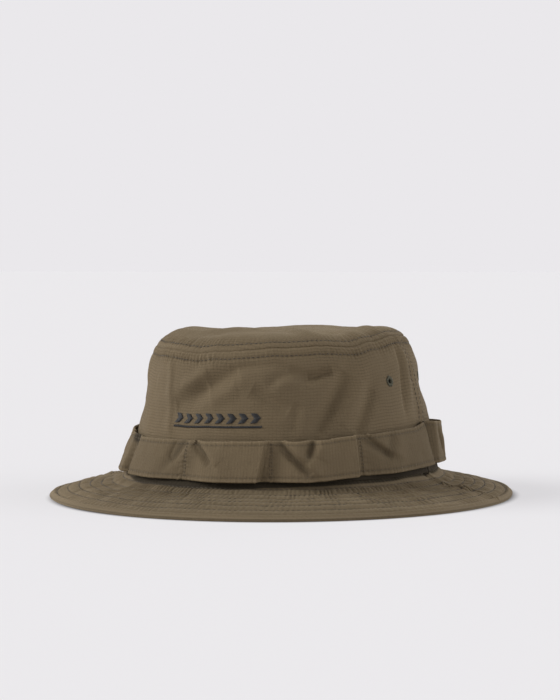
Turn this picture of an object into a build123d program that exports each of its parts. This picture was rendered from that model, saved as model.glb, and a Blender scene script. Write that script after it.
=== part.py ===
"""Boonie-style bucket hat: two-panel crown, oval tip, stitched brim and a band of ten sewn loops.

Row frame, millimetres: +Z up, the front of the hat faces -Y, the wearer's left is +X.
The origin is on the surface that the brim rests on, below the middle of the crown.
Every ring is drawn as a round hat and then stretched front to back by HEAD_STRETCH.
"""

import math
import os

from build123d import *

# Driving dimensions. Radii are side to side, before the stretch.
HEAD_STRETCH = 1.08  # a head, and so the hat, is longer front to back
JOINT_RADIUS = 92.3  # outside of the crown where it meets the brim
JOINT_HEIGHT = 16.9
BRIM_WIDTH = 45.0
SHOULDER_RADIUS = 78.9  # where the side panels start to round over
SHOULDER_HEIGHT = 82.0
TIP_SEAM_RADIUS = 74.2
TIP_SEAM_HEIGHT = 93.4
TIP_FLAT_RADIUS = 58.0
TIP_HEIGHT = 100.4
CLOTH = 0.9  # one layer of cloth
LAY = 0.06  # clearance between layers sewn together

# Brim
RIM_RADIUS = JOINT_RADIUS + BRIM_WIDTH
RIM_TOP = 2.2  # less than BRIM_STACK, so that the underside is flat where the rim rests
BRIM_INNER_RADIUS = 90.3
BRIM_STACK = 2.8  # top cloth, interlining and under cloth together
RIM_FOLD = 1.1  # width of the cloth turned in round the edge of the interlining

# Inside trim
SWEATBAND_HEIGHT = 33.0
SWEATBAND_THICKNESS = 1.2
SWEATBAND_DEPTH = 2.75  # in from the crown's outer face: clears the tapes and the brim's edge
TAPE_WIDTH = 12.0
TAPE_THICKNESS = 0.6
LABEL_WIDTH = 26.0
LABEL_HEIGHT = 14.0
LABEL_LIFT = 8.0  # above the foot of the sweatband
TIP_TAPE_DROP = 5.5  # from the tip seam down to the top of its tape
TIP_TAPE_LEAN = 1.6  # how far the top of that tape leans in, under the shoulder

# Loop band
BAND_BOTTOM = 17.6
BAND_TOP = 45.6
BAND_THICKNESS = 1.3  # two layers, folded and edge stitched
BAND_STAND = 0.35  # clearance from the crown where it is sewn down
LOOPS_PER_HALF = 5
LOOP_BULGE_BOTTOM = 96.4  # radius of a loop's inner face at its middle
LOOP_BULGE_TOP = 94.0
BAND_END_GAP = 1.0  # between the two bands at a side seam
TACK_WIDTH = 1.2
TACK_INSET = 2.0  # from each edge of the band

# Ventilation eyelets, two beside each side seam
EYELET_HEIGHT = 70.0
EYELET_ANGLE = 15.5  # either side of the side seam, in degrees round the crown
EYELET_HOLE_RADIUS = 1.3
EYELET_BARREL_RADIUS = 1.9
EYELET_FLANGE_RADIUS = 3.2
EYELET_FLANGE = 0.55

# Raised embroidery on the front panel: a row of chevrons over a bar
MOTIF_HEIGHT = 52.0
MOTIF_OFFSET = -3.5  # its middle, towards the wearer's right
MOTIF_LENGTH = 57.0
MOTIF_CHEVRONS = 8
MOTIF_STROKE = 3.2
MOTIF_BAR = 1.3  # thickness of the bar, and of the gap over it
CHEVRON_HALF = 3.2  # half the height of a chevron
CHEVRON_POINT = 2.7  # how far its point leads its ends
MOTIF_RISE = 0.7

# Thread: each row is modelled as one continuous flat bead
THREAD_WIDTH = 0.8
THREAD_RISE = 0.4
FIRST_ROW = 3.5  # from the joint, down the slope of the brim
ROW_PITCH = 6.5
BRIM_ROWS = 6
RIM_ROW_INSET = 4.7
SIDE_ROW_OFFSET = 3.0  # either side of a side seam

WALL_SLOPE = (JOINT_RADIUS - SHOULDER_RADIUS) / (SHOULDER_HEIGHT - JOINT_HEIGHT)
BRIM_SLOPE = (JOINT_HEIGHT - 0.6 - RIM_TOP) / BRIM_WIDTH
FRONT = Keep.TOP  # the side of Plane.XZ that its normal, -Y, points to
BACK = Keep.BOTTOM


def wall_radius(height, depth=0.0):
    """Radius of the crown's straight wall, depth in from its outer face."""
    return JOINT_RADIUS - WALL_SLOPE * (height - JOINT_HEIGHT) - depth


def brim_height(radius, depth=0.0):
    """Height of the brim's top face, or of a face that far below it."""
    return RIM_TOP + BRIM_SLOPE * (RIM_RADIUS - radius) - depth


def shoulder_arc(outset=0.0):
    """The rounded top of the side wall, outset from its outer face, in radius and height."""
    return TangentArc(
        (SHOULDER_RADIUS + outset, SHOULDER_HEIGHT),
        (TIP_SEAM_RADIUS + outset, TIP_SEAM_HEIGHT),
        tangent=(-WALL_SLOPE, 1),
    )


def tip_arc():
    """The rounded edge of the tip, from its flat middle down to the seam."""
    return TangentArc(
        (TIP_FLAT_RADIUS, TIP_HEIGHT),
        (TIP_SEAM_RADIUS - 0.1, TIP_SEAM_HEIGHT + 0.3),
        tangent=(1, 0),
    )


def ring(*corners, keep=None):
    """A closed profile of (radius, height) corners turned round the hat, whole or half."""
    with BuildPart() as turned:
        with BuildSketch(Plane.XZ):
            with BuildLine():
                Polyline(*corners, close=True)
            make_face()
        revolve(axis=Axis.Z)
        if keep:
            split(bisect_by=Plane.XZ, keep=keep)
        scale(by=(1, HEAD_STRETCH, 1))
    return turned


def wall_layer(low, high, depth, thickness):
    """A ring that follows the straight wall between two heights, depth in from its outer face."""
    return ring(
        (wall_radius(low, depth), low),
        (wall_radius(high, depth), high),
        (wall_radius(high, depth + thickness), high),
        (wall_radius(low, depth + thickness), low),
    )


def finish(node, shape):
    """Name a finished piece and write it to its own file."""
    shape.label = node
    export_step(shape, f"parts/{node}.step")


def crown_shell(outset, thickness, keep=None):
    """A layer that follows the side wall and its rounded shoulder, up to the tip seam."""
    with BuildPart() as shell:
        with BuildSketch(Plane.XZ):
            with BuildLine():
                foot = (JOINT_RADIUS + outset, JOINT_HEIGHT)
                shoulder = shoulder_arc(outset)
                Line(foot, shoulder @ 0)
                offset(amount=thickness, side=Side.LEFT)
            make_face()
        revolve(axis=Axis.Z)
        if keep:
            split(bisect_by=Plane.XZ, keep=keep)
        scale(by=(1, HEAD_STRETCH, 1))
    return shell


def eyelet_places():
    """Name and angle of each eyelet, measured round the crown from +X."""
    return [
        ("eyelet_left_front", -EYELET_ANGLE),
        ("eyelet_left_back", EYELET_ANGLE),
        ("eyelet_right_front", 180 + EYELET_ANGLE),
        ("eyelet_right_back", 180 - EYELET_ANGLE),
    ]


def wall_plane(angle, height, depth=0.0):
    """A plane on the stretched side wall, its normal pointing out of the hat."""
    turn = math.radians(angle)
    radius = wall_radius(height, depth)
    point = (radius * math.cos(turn), HEAD_STRETCH * radius * math.sin(turn), height)
    outward = (math.cos(turn), math.sin(turn) / HEAD_STRETCH, WALL_SLOPE)
    return Plane(origin=point, x_dir=(-math.sin(turn), math.cos(turn), 0), z_dir=outward)


def side_panel(keep, side):
    """Front or back half of the crown's side, with its eyelet holes cut through."""
    shell = crown_shell(0, CLOTH, keep)
    with BuildPart() as panel:
        add(shell.part)
        for node, angle in eyelet_places():
            if side in node:
                with BuildSketch(wall_plane(angle, EYELET_HEIGHT)):
                    Circle(EYELET_BARREL_RADIUS + LAY)
                extrude(amount=3 * CLOTH, both=True, mode=Mode.SUBTRACT)
    finish(f"crown_{side}_panel", panel.part)


def crown_tip():
    """The oval top: nearly flat, rounding down to its seam with the side panels."""
    with BuildPart() as tip:
        with BuildSketch(Plane.XZ):
            with BuildLine():
                Line((0, TIP_HEIGHT), (TIP_FLAT_RADIUS, TIP_HEIGHT))
                tip_arc()
                offset(amount=CLOTH, side=Side.RIGHT)
            make_face()
        revolve(axis=Axis.Z)
        scale(by=(1, HEAD_STRETCH, 1))
    finish("crown_tip", tip.part)


def brim():
    """Top cloth, interlining and under cloth; both cloths turn in at the rim and meet there."""
    outer = RIM_RADIUS
    fold = outer - RIM_FOLD
    inner = BRIM_INNER_RADIUS
    split_height = RIM_TOP - CLOTH - LAY
    under_top = BRIM_STACK - CLOTH
    for side, keep in (("front", FRONT), ("back", BACK)):
        top = ring(
            (inner, brim_height(inner)),
            (outer, RIM_TOP),
            (outer, split_height + LAY),
            (fold, brim_height(fold, CLOTH)),
            (inner, brim_height(inner, CLOTH)),
            keep=keep,
        )
        finish(f"brim_top_{side}", top.part)
        sloping = ring(
            (inner, brim_height(inner, under_top)),
            (fold, brim_height(fold, under_top)),
            (fold, brim_height(fold, CLOTH + LAY)),
            (outer, split_height),
            (outer, brim_height(outer, BRIM_STACK)),
            (inner, brim_height(inner, BRIM_STACK)),
            keep=keep,
        )
        with BuildPart() as under:
            add(sloping.part)
            split(bisect_by=Plane.XY, keep=Keep.TOP)
        finish(f"brim_under_{side}", under.part)
    interlining = ring(
        (inner, brim_height(inner, CLOTH + LAY)),
        (fold - LAY, brim_height(fold - LAY, CLOTH + LAY)),
        (fold - LAY, brim_height(fold - LAY, under_top - LAY)),
        (inner, brim_height(inner, under_top - LAY)),
    )
    finish("brim_interlining", interlining.part)


def sweatband():
    """Folded band inside the head opening, with the size label on its inner face at the back."""
    foot = JOINT_HEIGHT - BRIM_STACK
    band = wall_layer(foot, foot + SWEATBAND_HEIGHT, SWEATBAND_DEPTH, SWEATBAND_THICKNESS)
    finish("sweatband", band.part)
    label_foot = foot + LABEL_LIFT
    label_depth = SWEATBAND_DEPTH + SWEATBAND_THICKNESS + LAY
    with BuildPart() as label:
        whole = wall_layer(label_foot, label_foot + LABEL_HEIGHT, label_depth, TAPE_THICKNESS)
        add(whole.part)
        with Locations((0, RIM_RADIUS, label_foot)):
            Box(LABEL_WIDTH, 2 * RIM_RADIUS, 4 * LABEL_HEIGHT, mode=Mode.INTERSECT)
    finish("size_label", label.part)


def seam_tapes():
    """Tape over the raw seams inside the crown: one ring under the tip and one up each side."""
    depth = CLOTH + LAY
    top = TIP_SEAM_HEIGHT - TIP_TAPE_DROP
    bend = top - TAPE_WIDTH / 2
    bottom = top - TAPE_WIDTH
    lean_in = depth + TIP_TAPE_LEAN
    tip_tape = ring(
        (wall_radius(bottom, depth), bottom),
        (wall_radius(bend, depth), bend),
        (wall_radius(top, lean_in), top),
        (wall_radius(top, lean_in + TAPE_THICKNESS), top),
        (wall_radius(bend, depth + TAPE_THICKNESS), bend),
        (wall_radius(bottom, depth + TAPE_THICKNESS), bottom),
    )
    finish("tip_seam_tape", tip_tape.part)
    low, high = JOINT_HEIGHT + 0.5, bottom - 0.4
    whole = wall_layer(low, high, depth, TAPE_THICKNESS)
    for node, side in (("side_seam_tape_left", 1), ("side_seam_tape_right", -1)):
        with BuildPart() as tape:
            add(whole.part)
            with Locations((side * RIM_RADIUS / 2, 0, (low + high) / 2)):
                Box(RIM_RADIUS, TAPE_WIDTH, 2 * (high - low), mode=Mode.INTERSECT)
        finish(node, tape.part)


def loop_angles(side):
    """Angles of the tacks of one band, end to end, measured round the crown from +X."""
    start = 180 if side == "front" else 0
    end_gap = math.degrees(BAND_END_GAP / 2 / JOINT_RADIUS)
    step = 180 / LOOPS_PER_HALF
    angles = [start + step * tack for tack in range(LOOPS_PER_HALF + 1)]
    angles[0] += end_gap
    angles[-1] -= end_gap
    return angles


def polar(radius, angle):
    """A point of the round plan, at an angle in degrees from +X."""
    turn = math.radians(angle)
    return (radius * math.cos(turn), radius * math.sin(turn))


def band_outline(side, height, bulge):
    """Plan of one band at a height: sewn to the crown at each tack, bowed out between."""
    tack_radius = wall_radius(height) + BAND_STAND
    angles = loop_angles(side)
    with BuildSketch(Plane.XY.offset(height)) as plan:
        with BuildLine():
            for start, end in zip(angles, angles[1:]):
                middle = (start + end) / 2
                ThreePointArc(
                    polar(tack_radius, start), polar(bulge, middle), polar(tack_radius, end)
                )
                ThreePointArc(
                    polar(tack_radius + BAND_THICKNESS, start),
                    polar(bulge + BAND_THICKNESS, middle),
                    polar(tack_radius + BAND_THICKNESS, end),
                )
            for end in (angles[0], angles[-1]):
                Line(polar(tack_radius, end), polar(tack_radius + BAND_THICKNESS, end))
        make_face()
    return plan.sketch


def loop_bands():
    """The two bands, front and back, each one strip that makes five loops."""
    for side in ("front", "back"):
        with BuildPart() as band:
            loft(
                [
                    band_outline(side, BAND_BOTTOM, LOOP_BULGE_BOTTOM).face(),
                    band_outline(side, BAND_TOP, LOOP_BULGE_TOP).face(),
                ],
                ruled=True,
            )
            scale(by=(1, HEAD_STRETCH, 1))
        finish(f"band_{side}", band.part)


def eyelets():
    """Four stitched eyelets: a barrel through the panel with a collar on each face."""
    reach = CLOTH / 2 + 0.14
    for node, angle in eyelet_places():
        plane = wall_plane(angle, EYELET_HEIGHT).offset(-CLOTH / 2)
        with BuildPart() as eyelet:
            with BuildSketch(plane):
                Circle(EYELET_BARREL_RADIUS)
            extrude(amount=reach + EYELET_FLANGE, both=True)
            for face in (reach, -reach - EYELET_FLANGE):
                with BuildSketch(plane.offset(face)):
                    Circle(EYELET_FLANGE_RADIUS)
                extrude(amount=EYELET_FLANGE)
            with BuildSketch(plane):
                Circle(EYELET_HOLE_RADIUS)
            extrude(amount=4 * CLOTH, both=True, mode=Mode.SUBTRACT)
        finish(node, eyelet.part)


def motif():
    """The raised embroidery: chevrons over a bar, cut from a layer that follows the panel."""
    layer = crown_shell(MOTIF_RISE + LAY, MOTIF_RISE, FRONT)
    pitch = MOTIF_LENGTH / MOTIF_CHEVRONS
    with BuildPart() as embroidery:
        with BuildSketch(Plane.XZ):
            for mark in range(MOTIF_CHEVRONS):
                left = MOTIF_OFFSET - MOTIF_LENGTH / 2 + mark * pitch
                with Locations((left, MOTIF_HEIGHT + MOTIF_BAR)):
                    Polygon(
                        (0, CHEVRON_HALF),
                        (MOTIF_STROKE, CHEVRON_HALF),
                        (MOTIF_STROKE + CHEVRON_POINT, 0),
                        (MOTIF_STROKE, -CHEVRON_HALF),
                        (0, -CHEVRON_HALF),
                        (CHEVRON_POINT, 0),
                        align=None,
                    )
            with Locations((MOTIF_OFFSET, MOTIF_HEIGHT - CHEVRON_HALF - MOTIF_BAR / 2)):
                Rectangle(MOTIF_LENGTH, MOTIF_BAR)
        extrude(amount=HEAD_STRETCH * RIM_RADIUS)
        add(layer.part, mode=Mode.INTERSECT)
    finish("front_motif", embroidery.part)


def thread_ring(radius, height, slope):
    """One row of stitching round the hat, as a flat bead lying on a sloping cloth."""
    along = (math.cos(slope), math.sin(slope))
    normal = (-along[1], along[0])
    half = THREAD_WIDTH / 2
    low, high = LAY, LAY + THREAD_RISE
    corners = [(-half, low), (half, low), (half, high), (-half, high)]
    return ring(
        *[
            (
                radius + run * along[0] + rise * normal[0],
                height + run * along[1] + rise * normal[1],
            )
            for run, rise in corners
        ]
    )


def stitching():
    """Rows of thread: on the brim, near its rim and on both sides of the tip seam."""
    brim_angle = -math.atan(BRIM_SLOPE)
    with BuildPart() as brim_rows:
        for row in range(BRIM_ROWS):
            radius = JOINT_RADIUS + (FIRST_ROW + ROW_PITCH * row) * math.cos(brim_angle)
            add(thread_ring(radius, brim_height(radius), brim_angle).part)
    finish("brim_stitching", brim_rows.part)

    rim_row_radius = RIM_RADIUS - RIM_ROW_INSET * math.cos(brim_angle)
    rim_row = thread_ring(rim_row_radius, brim_height(rim_row_radius), brim_angle)
    finish("rim_stitching", rim_row.part)

    with BuildPart() as tip_rows:
        for arc, place in ((tip_arc(), 0.8), (shoulder_arc(), 0.55)):
            point, outward_run = arc @ place, arc % place
            if outward_run.X < 0:
                outward_run = -outward_run
            slope = math.atan2(outward_run.Y, outward_run.X)
            add(thread_ring(point.X, point.Y, slope).part)
    finish("tip_stitching", tip_rows.part)


def side_seam_stitching():
    """Two rows up each side seam, one on the front panel and one on the back panel."""
    low, high = BAND_TOP + 1, SHOULDER_HEIGHT - 1
    layer = wall_layer(low, high, -LAY - THREAD_RISE, THREAD_RISE)
    for node, side in (("side_seam_stitching_left", 1), ("side_seam_stitching_right", -1)):
        with BuildPart() as rows:
            for row in (-SIDE_ROW_OFFSET, SIDE_ROW_OFFSET):
                with Locations((side * RIM_RADIUS / 2, row, (low + high) / 2)):
                    Box(RIM_RADIUS, THREAD_WIDTH, 2 * (high - low))
            add(layer.part, mode=Mode.INTERSECT)
        finish(node, rows.part)


def band_tacks():
    """A bar of tacking thread down each loop end, sewing the band through to the crown."""
    middle = (BAND_TOP + BAND_BOTTOM) / 2
    depth = -BAND_STAND - BAND_THICKNESS - LAY - THREAD_RISE
    with BuildPart() as tacks:
        for side in ("front", "back"):
            for angle in loop_angles(side)[1:-1]:
                with BuildSketch(wall_plane(angle, middle, depth)):
                    Rectangle(TACK_WIDTH, BAND_TOP - BAND_BOTTOM - 2 * TACK_INSET)
                extrude(amount=THREAD_RISE)
    finish("band_tacks", tacks.part)


os.makedirs("parts", exist_ok=True)
crown_tip()
side_panel(FRONT, "front")
side_panel(BACK, "back")
brim()
sweatband()
seam_tapes()
loop_bands()
eyelets()
motif()
stitching()
side_seam_stitching()
band_tacks()
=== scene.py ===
"""Bucket hat in olive ripstop: the visual model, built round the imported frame.

Inside the script lengths are millimetres, and they become metres when a mesh is made.
A bearing is an angle round the hat in degrees, from the front (-Y) towards the wearer's left
(+X): 0 is the front, 90 the left side seam, 180 the back and 270 the right side seam.
Every ring is worked out round, and stretched front to back by STRETCH.
"""

import math

import bpy
import numpy as np
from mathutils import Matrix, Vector


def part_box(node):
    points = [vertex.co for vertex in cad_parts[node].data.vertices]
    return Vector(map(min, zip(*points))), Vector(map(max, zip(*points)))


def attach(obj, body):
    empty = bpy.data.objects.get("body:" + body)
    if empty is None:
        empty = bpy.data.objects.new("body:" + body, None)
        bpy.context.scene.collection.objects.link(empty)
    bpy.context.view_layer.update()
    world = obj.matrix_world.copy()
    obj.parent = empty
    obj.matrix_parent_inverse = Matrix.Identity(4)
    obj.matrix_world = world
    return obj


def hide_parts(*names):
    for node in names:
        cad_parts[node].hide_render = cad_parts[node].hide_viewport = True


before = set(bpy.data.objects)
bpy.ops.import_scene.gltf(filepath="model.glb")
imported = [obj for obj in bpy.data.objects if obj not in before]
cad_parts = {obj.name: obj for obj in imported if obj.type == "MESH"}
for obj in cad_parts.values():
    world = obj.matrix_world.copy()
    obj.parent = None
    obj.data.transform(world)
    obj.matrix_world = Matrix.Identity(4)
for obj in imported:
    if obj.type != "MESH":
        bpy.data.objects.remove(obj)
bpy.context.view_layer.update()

METRES = 0.001
BODY = "root"


def cad_box(node):
    """A CAD node's lowest and highest corners, in millimetres."""
    low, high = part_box(node)
    return np.array(low) / METRES, np.array(high) / METRES


# Dimensions taken from the frame
PANEL_LOW, PANEL_HIGH = cad_box("crown_front_panel")
JOINT_RADIUS = PANEL_HIGH[0]
JOINT_HEIGHT = PANEL_LOW[2]
STRETCH = -PANEL_LOW[1] / PANEL_HIGH[0]
SEAM_HEIGHT = PANEL_HIGH[2] - 0.2
_, TIP_HIGH = cad_box("crown_tip")
SEAM_RADIUS = TIP_HIGH[0]
TIP_HEIGHT = TIP_HIGH[2]
_, BRIM_HIGH = cad_box("brim_top_front")
RIM_RADIUS = BRIM_HIGH[0]
BRIM_TOP_HEIGHT = BRIM_HIGH[2]
SWEAT_LOW, SWEAT_HIGH = cad_box("sweatband")

# Dimensions of the cloth and of the sewing
SHOULDER_RADIUS = 78.9
SHOULDER_HEIGHT = 82.0
CLOTH = 0.9
FOLDED_CLOTH = 1.5
RIM_ROLL = 1.1  # radius of the turned rim
TOP_SLUMP = 2.6
ROW_PITCH = 6.5
BRIM_ROWS = 6
RIM_ROW_INSET = 4.7
STITCH_PITCH = 2.8
STITCH_LENGTH = 2.0
STITCH_WIDTH = 0.66
CROWN_ARC = 84.0  # radii that turn bearings into lengths along the crown and the brim
BRIM_ARC = 112.0
FOLD_STRENGTH = 1.3
INTERLINING_DEPTH = 1.3
INTERLINING = 0.4  # its thickness

WALL_LEAN = math.atan((JOINT_RADIUS - SHOULDER_RADIUS) / (SHOULDER_HEIGHT - JOINT_HEIGHT))
WALL_RUN = math.hypot(JOINT_RADIUS - SHOULDER_RADIUS, SHOULDER_HEIGHT - JOINT_HEIGHT)
SEAM_TURN = 2 * (
    math.atan2(SHOULDER_RADIUS - SEAM_RADIUS, SEAM_HEIGHT - SHOULDER_HEIGHT) - WALL_LEAN
)
SHOULDER_CHORD = math.hypot(SHOULDER_RADIUS - SEAM_RADIUS, SEAM_HEIGHT - SHOULDER_HEIGHT)
SHOULDER_BEND = SHOULDER_CHORD / 2 / math.sin(SEAM_TURN / 2)
SIDE_RUN = WALL_RUN + SHOULDER_BEND * SEAM_TURN
BRIM_LEAN = math.atan((BRIM_TOP_HEIGHT - 2 * RIM_ROLL) / (RIM_RADIUS - 90.3))


# ---------------------------------------------------------------- numbers and curves


def smooth(share):
    """0 to 1 with no corner at either end."""
    share = np.clip(share, 0, 1)
    return share * share * (3 - 2 * share)


def bell(distance, width):
    """1 at no distance, falling off smoothly over the width."""
    return np.exp(-((distance / width) ** 2))


def angle_gap(bearing, other):
    """Signed difference of two bearings, from -180 to 180."""
    return (bearing - other + 180) % 360 - 180


def round_the_hat(bearing, knots):
    """A smooth periodic value through a few (bearing, value) knots."""
    places = [knot[0] for knot in knots]
    values = [knot[1] for knot in knots]
    places = [places[-1] - 360] + places + [places[0] + 360]
    values = [values[-1]] + values + [values[0]]
    turned = (np.asarray(bearing, float) - places[0]) % 360 + places[0]
    total = np.zeros_like(turned)
    for start in range(len(places) - 1):
        gap = places[start + 1] - places[start]
        share = (turned - places[start]) / gap
        inside = (share >= 0) & (share < 1)
        blend = values[start] + (values[start + 1] - values[start]) * smooth(share)
        total = np.where(inside, blend, total)
    return total


def noise(x, y, seed):
    """Smooth noise from -1 to 1 on a plane, one cell to a unit."""
    x, y = np.broadcast_arrays(np.asarray(x, float), np.asarray(y, float))
    cell_x, cell_y = np.floor(x).astype(np.int64), np.floor(y).astype(np.int64)
    share_x, share_y = smooth(x - cell_x), smooth(y - cell_y)

    def corner(step_x, step_y):
        mixed = (cell_x + step_x) * 374761393 + (cell_y + step_y) * 668265263 + seed * 69069
        mixed = ((mixed ^ (mixed >> 13)) * 1274126177) & 0xFFFFFFFF
        return ((mixed ^ (mixed >> 16)) & 0xFFFF) / 32767.5 - 1

    low = corner(0, 0) * (1 - share_x) + corner(1, 0) * share_x
    high = corner(0, 1) * (1 - share_x) + corner(1, 1) * share_x
    return low * (1 - share_y) + high * share_y


def layered_noise(x, y, seed, layers=3):
    """Noise with finer and weaker copies of itself."""
    total = 0.0
    for layer in range(layers):
        total = total + noise(x * 2**layer, y * 2**layer, seed + layer) / 2**layer
    return total / 1.6


def crease(bearing, height, start, end, width, radius=88.0, other=None):
    """1 along a straight crease between two (bearing, height) points, 0 away from it.

    Looking from start to end, width is that of its right side, and other that of its left.
    """
    along = math.radians(1) * radius
    x = angle_gap(bearing, start[0]) * along
    y = height - start[1]
    end_x, end_y = angle_gap(end[0], start[0]) * along, end[1] - start[1]
    length = math.hypot(end_x, end_y)
    share = (x * end_x + y * end_y) / length**2
    off = (x * end_y - y * end_x) / length
    past = np.maximum(0, np.maximum(-share, share - 1)) * length
    taper = 0.35 + 0.65 * np.sqrt(np.clip(1 - (2 * np.clip(share, 0, 1) - 1) ** 2, 0, 1))
    flank = np.where(off > 0, width, other or width)
    return bell(off, flank) * bell(past, 1.6 * width) * taper


def place(bearing, radius, height):
    """Points of the stretched hat from bearing, round radius and height.

    The top of the crown has slumped a little towards the wearer's right.
    """
    turn = np.radians(bearing)
    slump = TOP_SLUMP * smooth((np.asarray(height, float) - 76) / 22)
    x = radius * np.sin(turn) - 0.9 * slump
    y = -STRETCH * radius * np.cos(turn) - 0.4 * slump
    return np.stack(np.broadcast_arrays(x, y, height), axis=-1)


def unit(vectors):
    """Vectors of length 1."""
    return vectors / np.maximum(np.linalg.norm(vectors, axis=-1, keepdims=True), 1e-12)


# ---------------------------------------------------------------- meshes


def make_object(name, vertices, faces, material, uv=None, values=None):
    """A smooth-shaded object from millimetre vertices, with a UV pair for each face corner."""
    mesh = bpy.data.meshes.new(name)
    mesh.from_pydata((vertices * METRES).tolist(), [], faces)
    mesh.polygons.foreach_set("use_smooth", [True] * len(mesh.polygons))
    if uv is not None:
        layer = mesh.uv_layers.new(name="cloth")
        layer.data.foreach_set("uv", (uv * METRES).astype(np.float32).ravel())
    for key, numbers in (values or {}).items():
        attribute = mesh.attributes.new(key, "FLOAT", "POINT")
        attribute.data.foreach_set("value", numbers.astype(np.float32).ravel())
    mesh.materials.append(material)
    mesh.validate()
    mesh.update()
    obj = bpy.data.objects.new(name, mesh)
    bpy.context.scene.collection.objects.link(obj)
    return obj


def grid_normals(points, wrap):
    """Unit normals of a grid of points, to the left of its columns' way going up its rows."""
    up_rows = np.gradient(points, axis=0)
    if wrap:
        along = np.roll(points, -1, axis=1) - np.roll(points, 1, axis=1)
    else:
        along = np.gradient(points, axis=1)
    return unit(np.cross(along, up_rows))


def cloth_piece(name, outer, uv, material, thickness=CLOTH, wrap=False, values=None):
    """A closed piece of cloth with rounded edges, from the grid of its outer face.

    Rows go up or inward and columns go with the bearing, so that the face looks outward.
    With wrap, the columns close into a ring and uv has one column more than the points.
    """
    rows, columns = outer.shape[:2]
    normal = grid_normals(outer, wrap)
    middle = outer - normal * thickness / 2
    half = thickness / 2
    turns = np.radians([35, 90, 145])
    top_way = unit(middle[-1] - middle[-2])
    low_way = unit(middle[0] - middle[1])
    offsets = [normal * half]
    source = list(range(rows))
    for turn in turns:
        offsets.append((normal[-1] * math.cos(turn) + top_way * math.sin(turn))[None] * half)
        source.append(rows - 1)
    offsets.append(-normal[::-1] * half)
    source += list(range(rows - 1, -1, -1))
    for turn in turns:
        offsets.append((-normal[0] * math.cos(turn) + low_way * math.sin(turn))[None] * half)
        source.append(0)
    offsets = np.concatenate(offsets)
    source = np.array(source)
    centres = middle[source]
    skin_uv = uv[source]
    skin_values = {key: number[source] for key, number in (values or {}).items()}
    ring = len(source)
    if not wrap:
        first, last = [], []
        first_way = unit(middle[:, 0] - middle[:, 1])[source] * half
        last_way = unit(middle[:, -1] - middle[:, -2])[source] * half
        for turn in np.radians([70, 35]):
            first.append(offsets[:, 0] * math.cos(turn) + first_way * math.sin(turn))
        for turn in np.radians([35, 70]):
            last.append(offsets[:, -1] * math.cos(turn) + last_way * math.sin(turn))
        offsets = np.concatenate([np.stack(first, 1), offsets, np.stack(last, 1)], axis=1)

        def pad(array):
            return np.concatenate(
                [array[:, :1], array[:, :1], array, array[:, -1:], array[:, -1:]], axis=1
            )

        centres, skin_uv = pad(centres), pad(skin_uv)
        skin_values = {key: pad(number) for key, number in skin_values.items()}
        columns += 4
    skin = (centres + offsets).reshape(-1, 3)
    spans = columns if wrap else columns - 1
    ring_index = np.arange(ring)[:, None]
    column_index = np.arange(spans)[None, :]
    next_ring = (ring_index + 1) % ring
    next_column = (column_index + 1) % columns

    def vertex(row, column):
        return (row * columns + column + np.zeros((ring, spans), int)).ravel()

    quads = np.stack(
        [
            vertex(ring_index, column_index),
            vertex(ring_index, next_column),
            vertex(next_ring, next_column),
            vertex(next_ring, column_index),
        ],
        axis=1,
    )

    def corner_uv(row, column):
        return skin_uv[row, column].reshape(-1, 2)

    across = column_index + 1 if wrap else next_column
    row_all = np.broadcast_to(ring_index, (ring, spans))
    next_all = np.broadcast_to(next_ring, (ring, spans))
    column_all = np.broadcast_to(column_index, (ring, spans))
    across_all = np.broadcast_to(across, (ring, spans))
    face_uv = np.stack(
        [
            corner_uv(row_all, column_all),
            corner_uv(row_all, across_all),
            corner_uv(next_all, across_all),
            corner_uv(next_all, column_all),
        ],
        axis=1,
    )
    faces = quads.tolist()
    all_uv = [face_uv.reshape(-1, 2)]
    if not wrap:
        for column, flip in ((0, True), (columns - 1, False)):
            loops = []
            for row in range(rows - 1):
                mate = rows + 3 + (rows - 1 - row)
                loops.append([row, row + 1, mate - 1, mate])
            loops.append([rows - 1, rows, rows + 1, rows + 2, rows + 3])
            loops.append([ring - 4, ring - 3, ring - 2, ring - 1, 0])
            for loop in loops:
                loop = loop if flip else loop[::-1]
                faces.append([row * columns + column for row in loop])
                all_uv.append(skin_uv[loop, column])
    flat_values = {key: number[:, :columns] for key, number in skin_values.items()}
    return make_object(name, skin, faces, material, np.concatenate(all_uv), flat_values)


def walk(points, distances):
    """Points at distances along a line of points."""
    steps = np.linalg.norm(np.diff(points[:, :3], axis=0), axis=1)
    travelled = np.concatenate([[0], np.cumsum(steps)])
    return np.stack(
        [np.interp(distances, travelled, points[:, axis]) for axis in range(points.shape[1])],
        axis=-1,
    )


def line_length(points):
    """Length of a line of points."""
    return float(np.linalg.norm(np.diff(points, axis=0), axis=1).sum())


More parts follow.
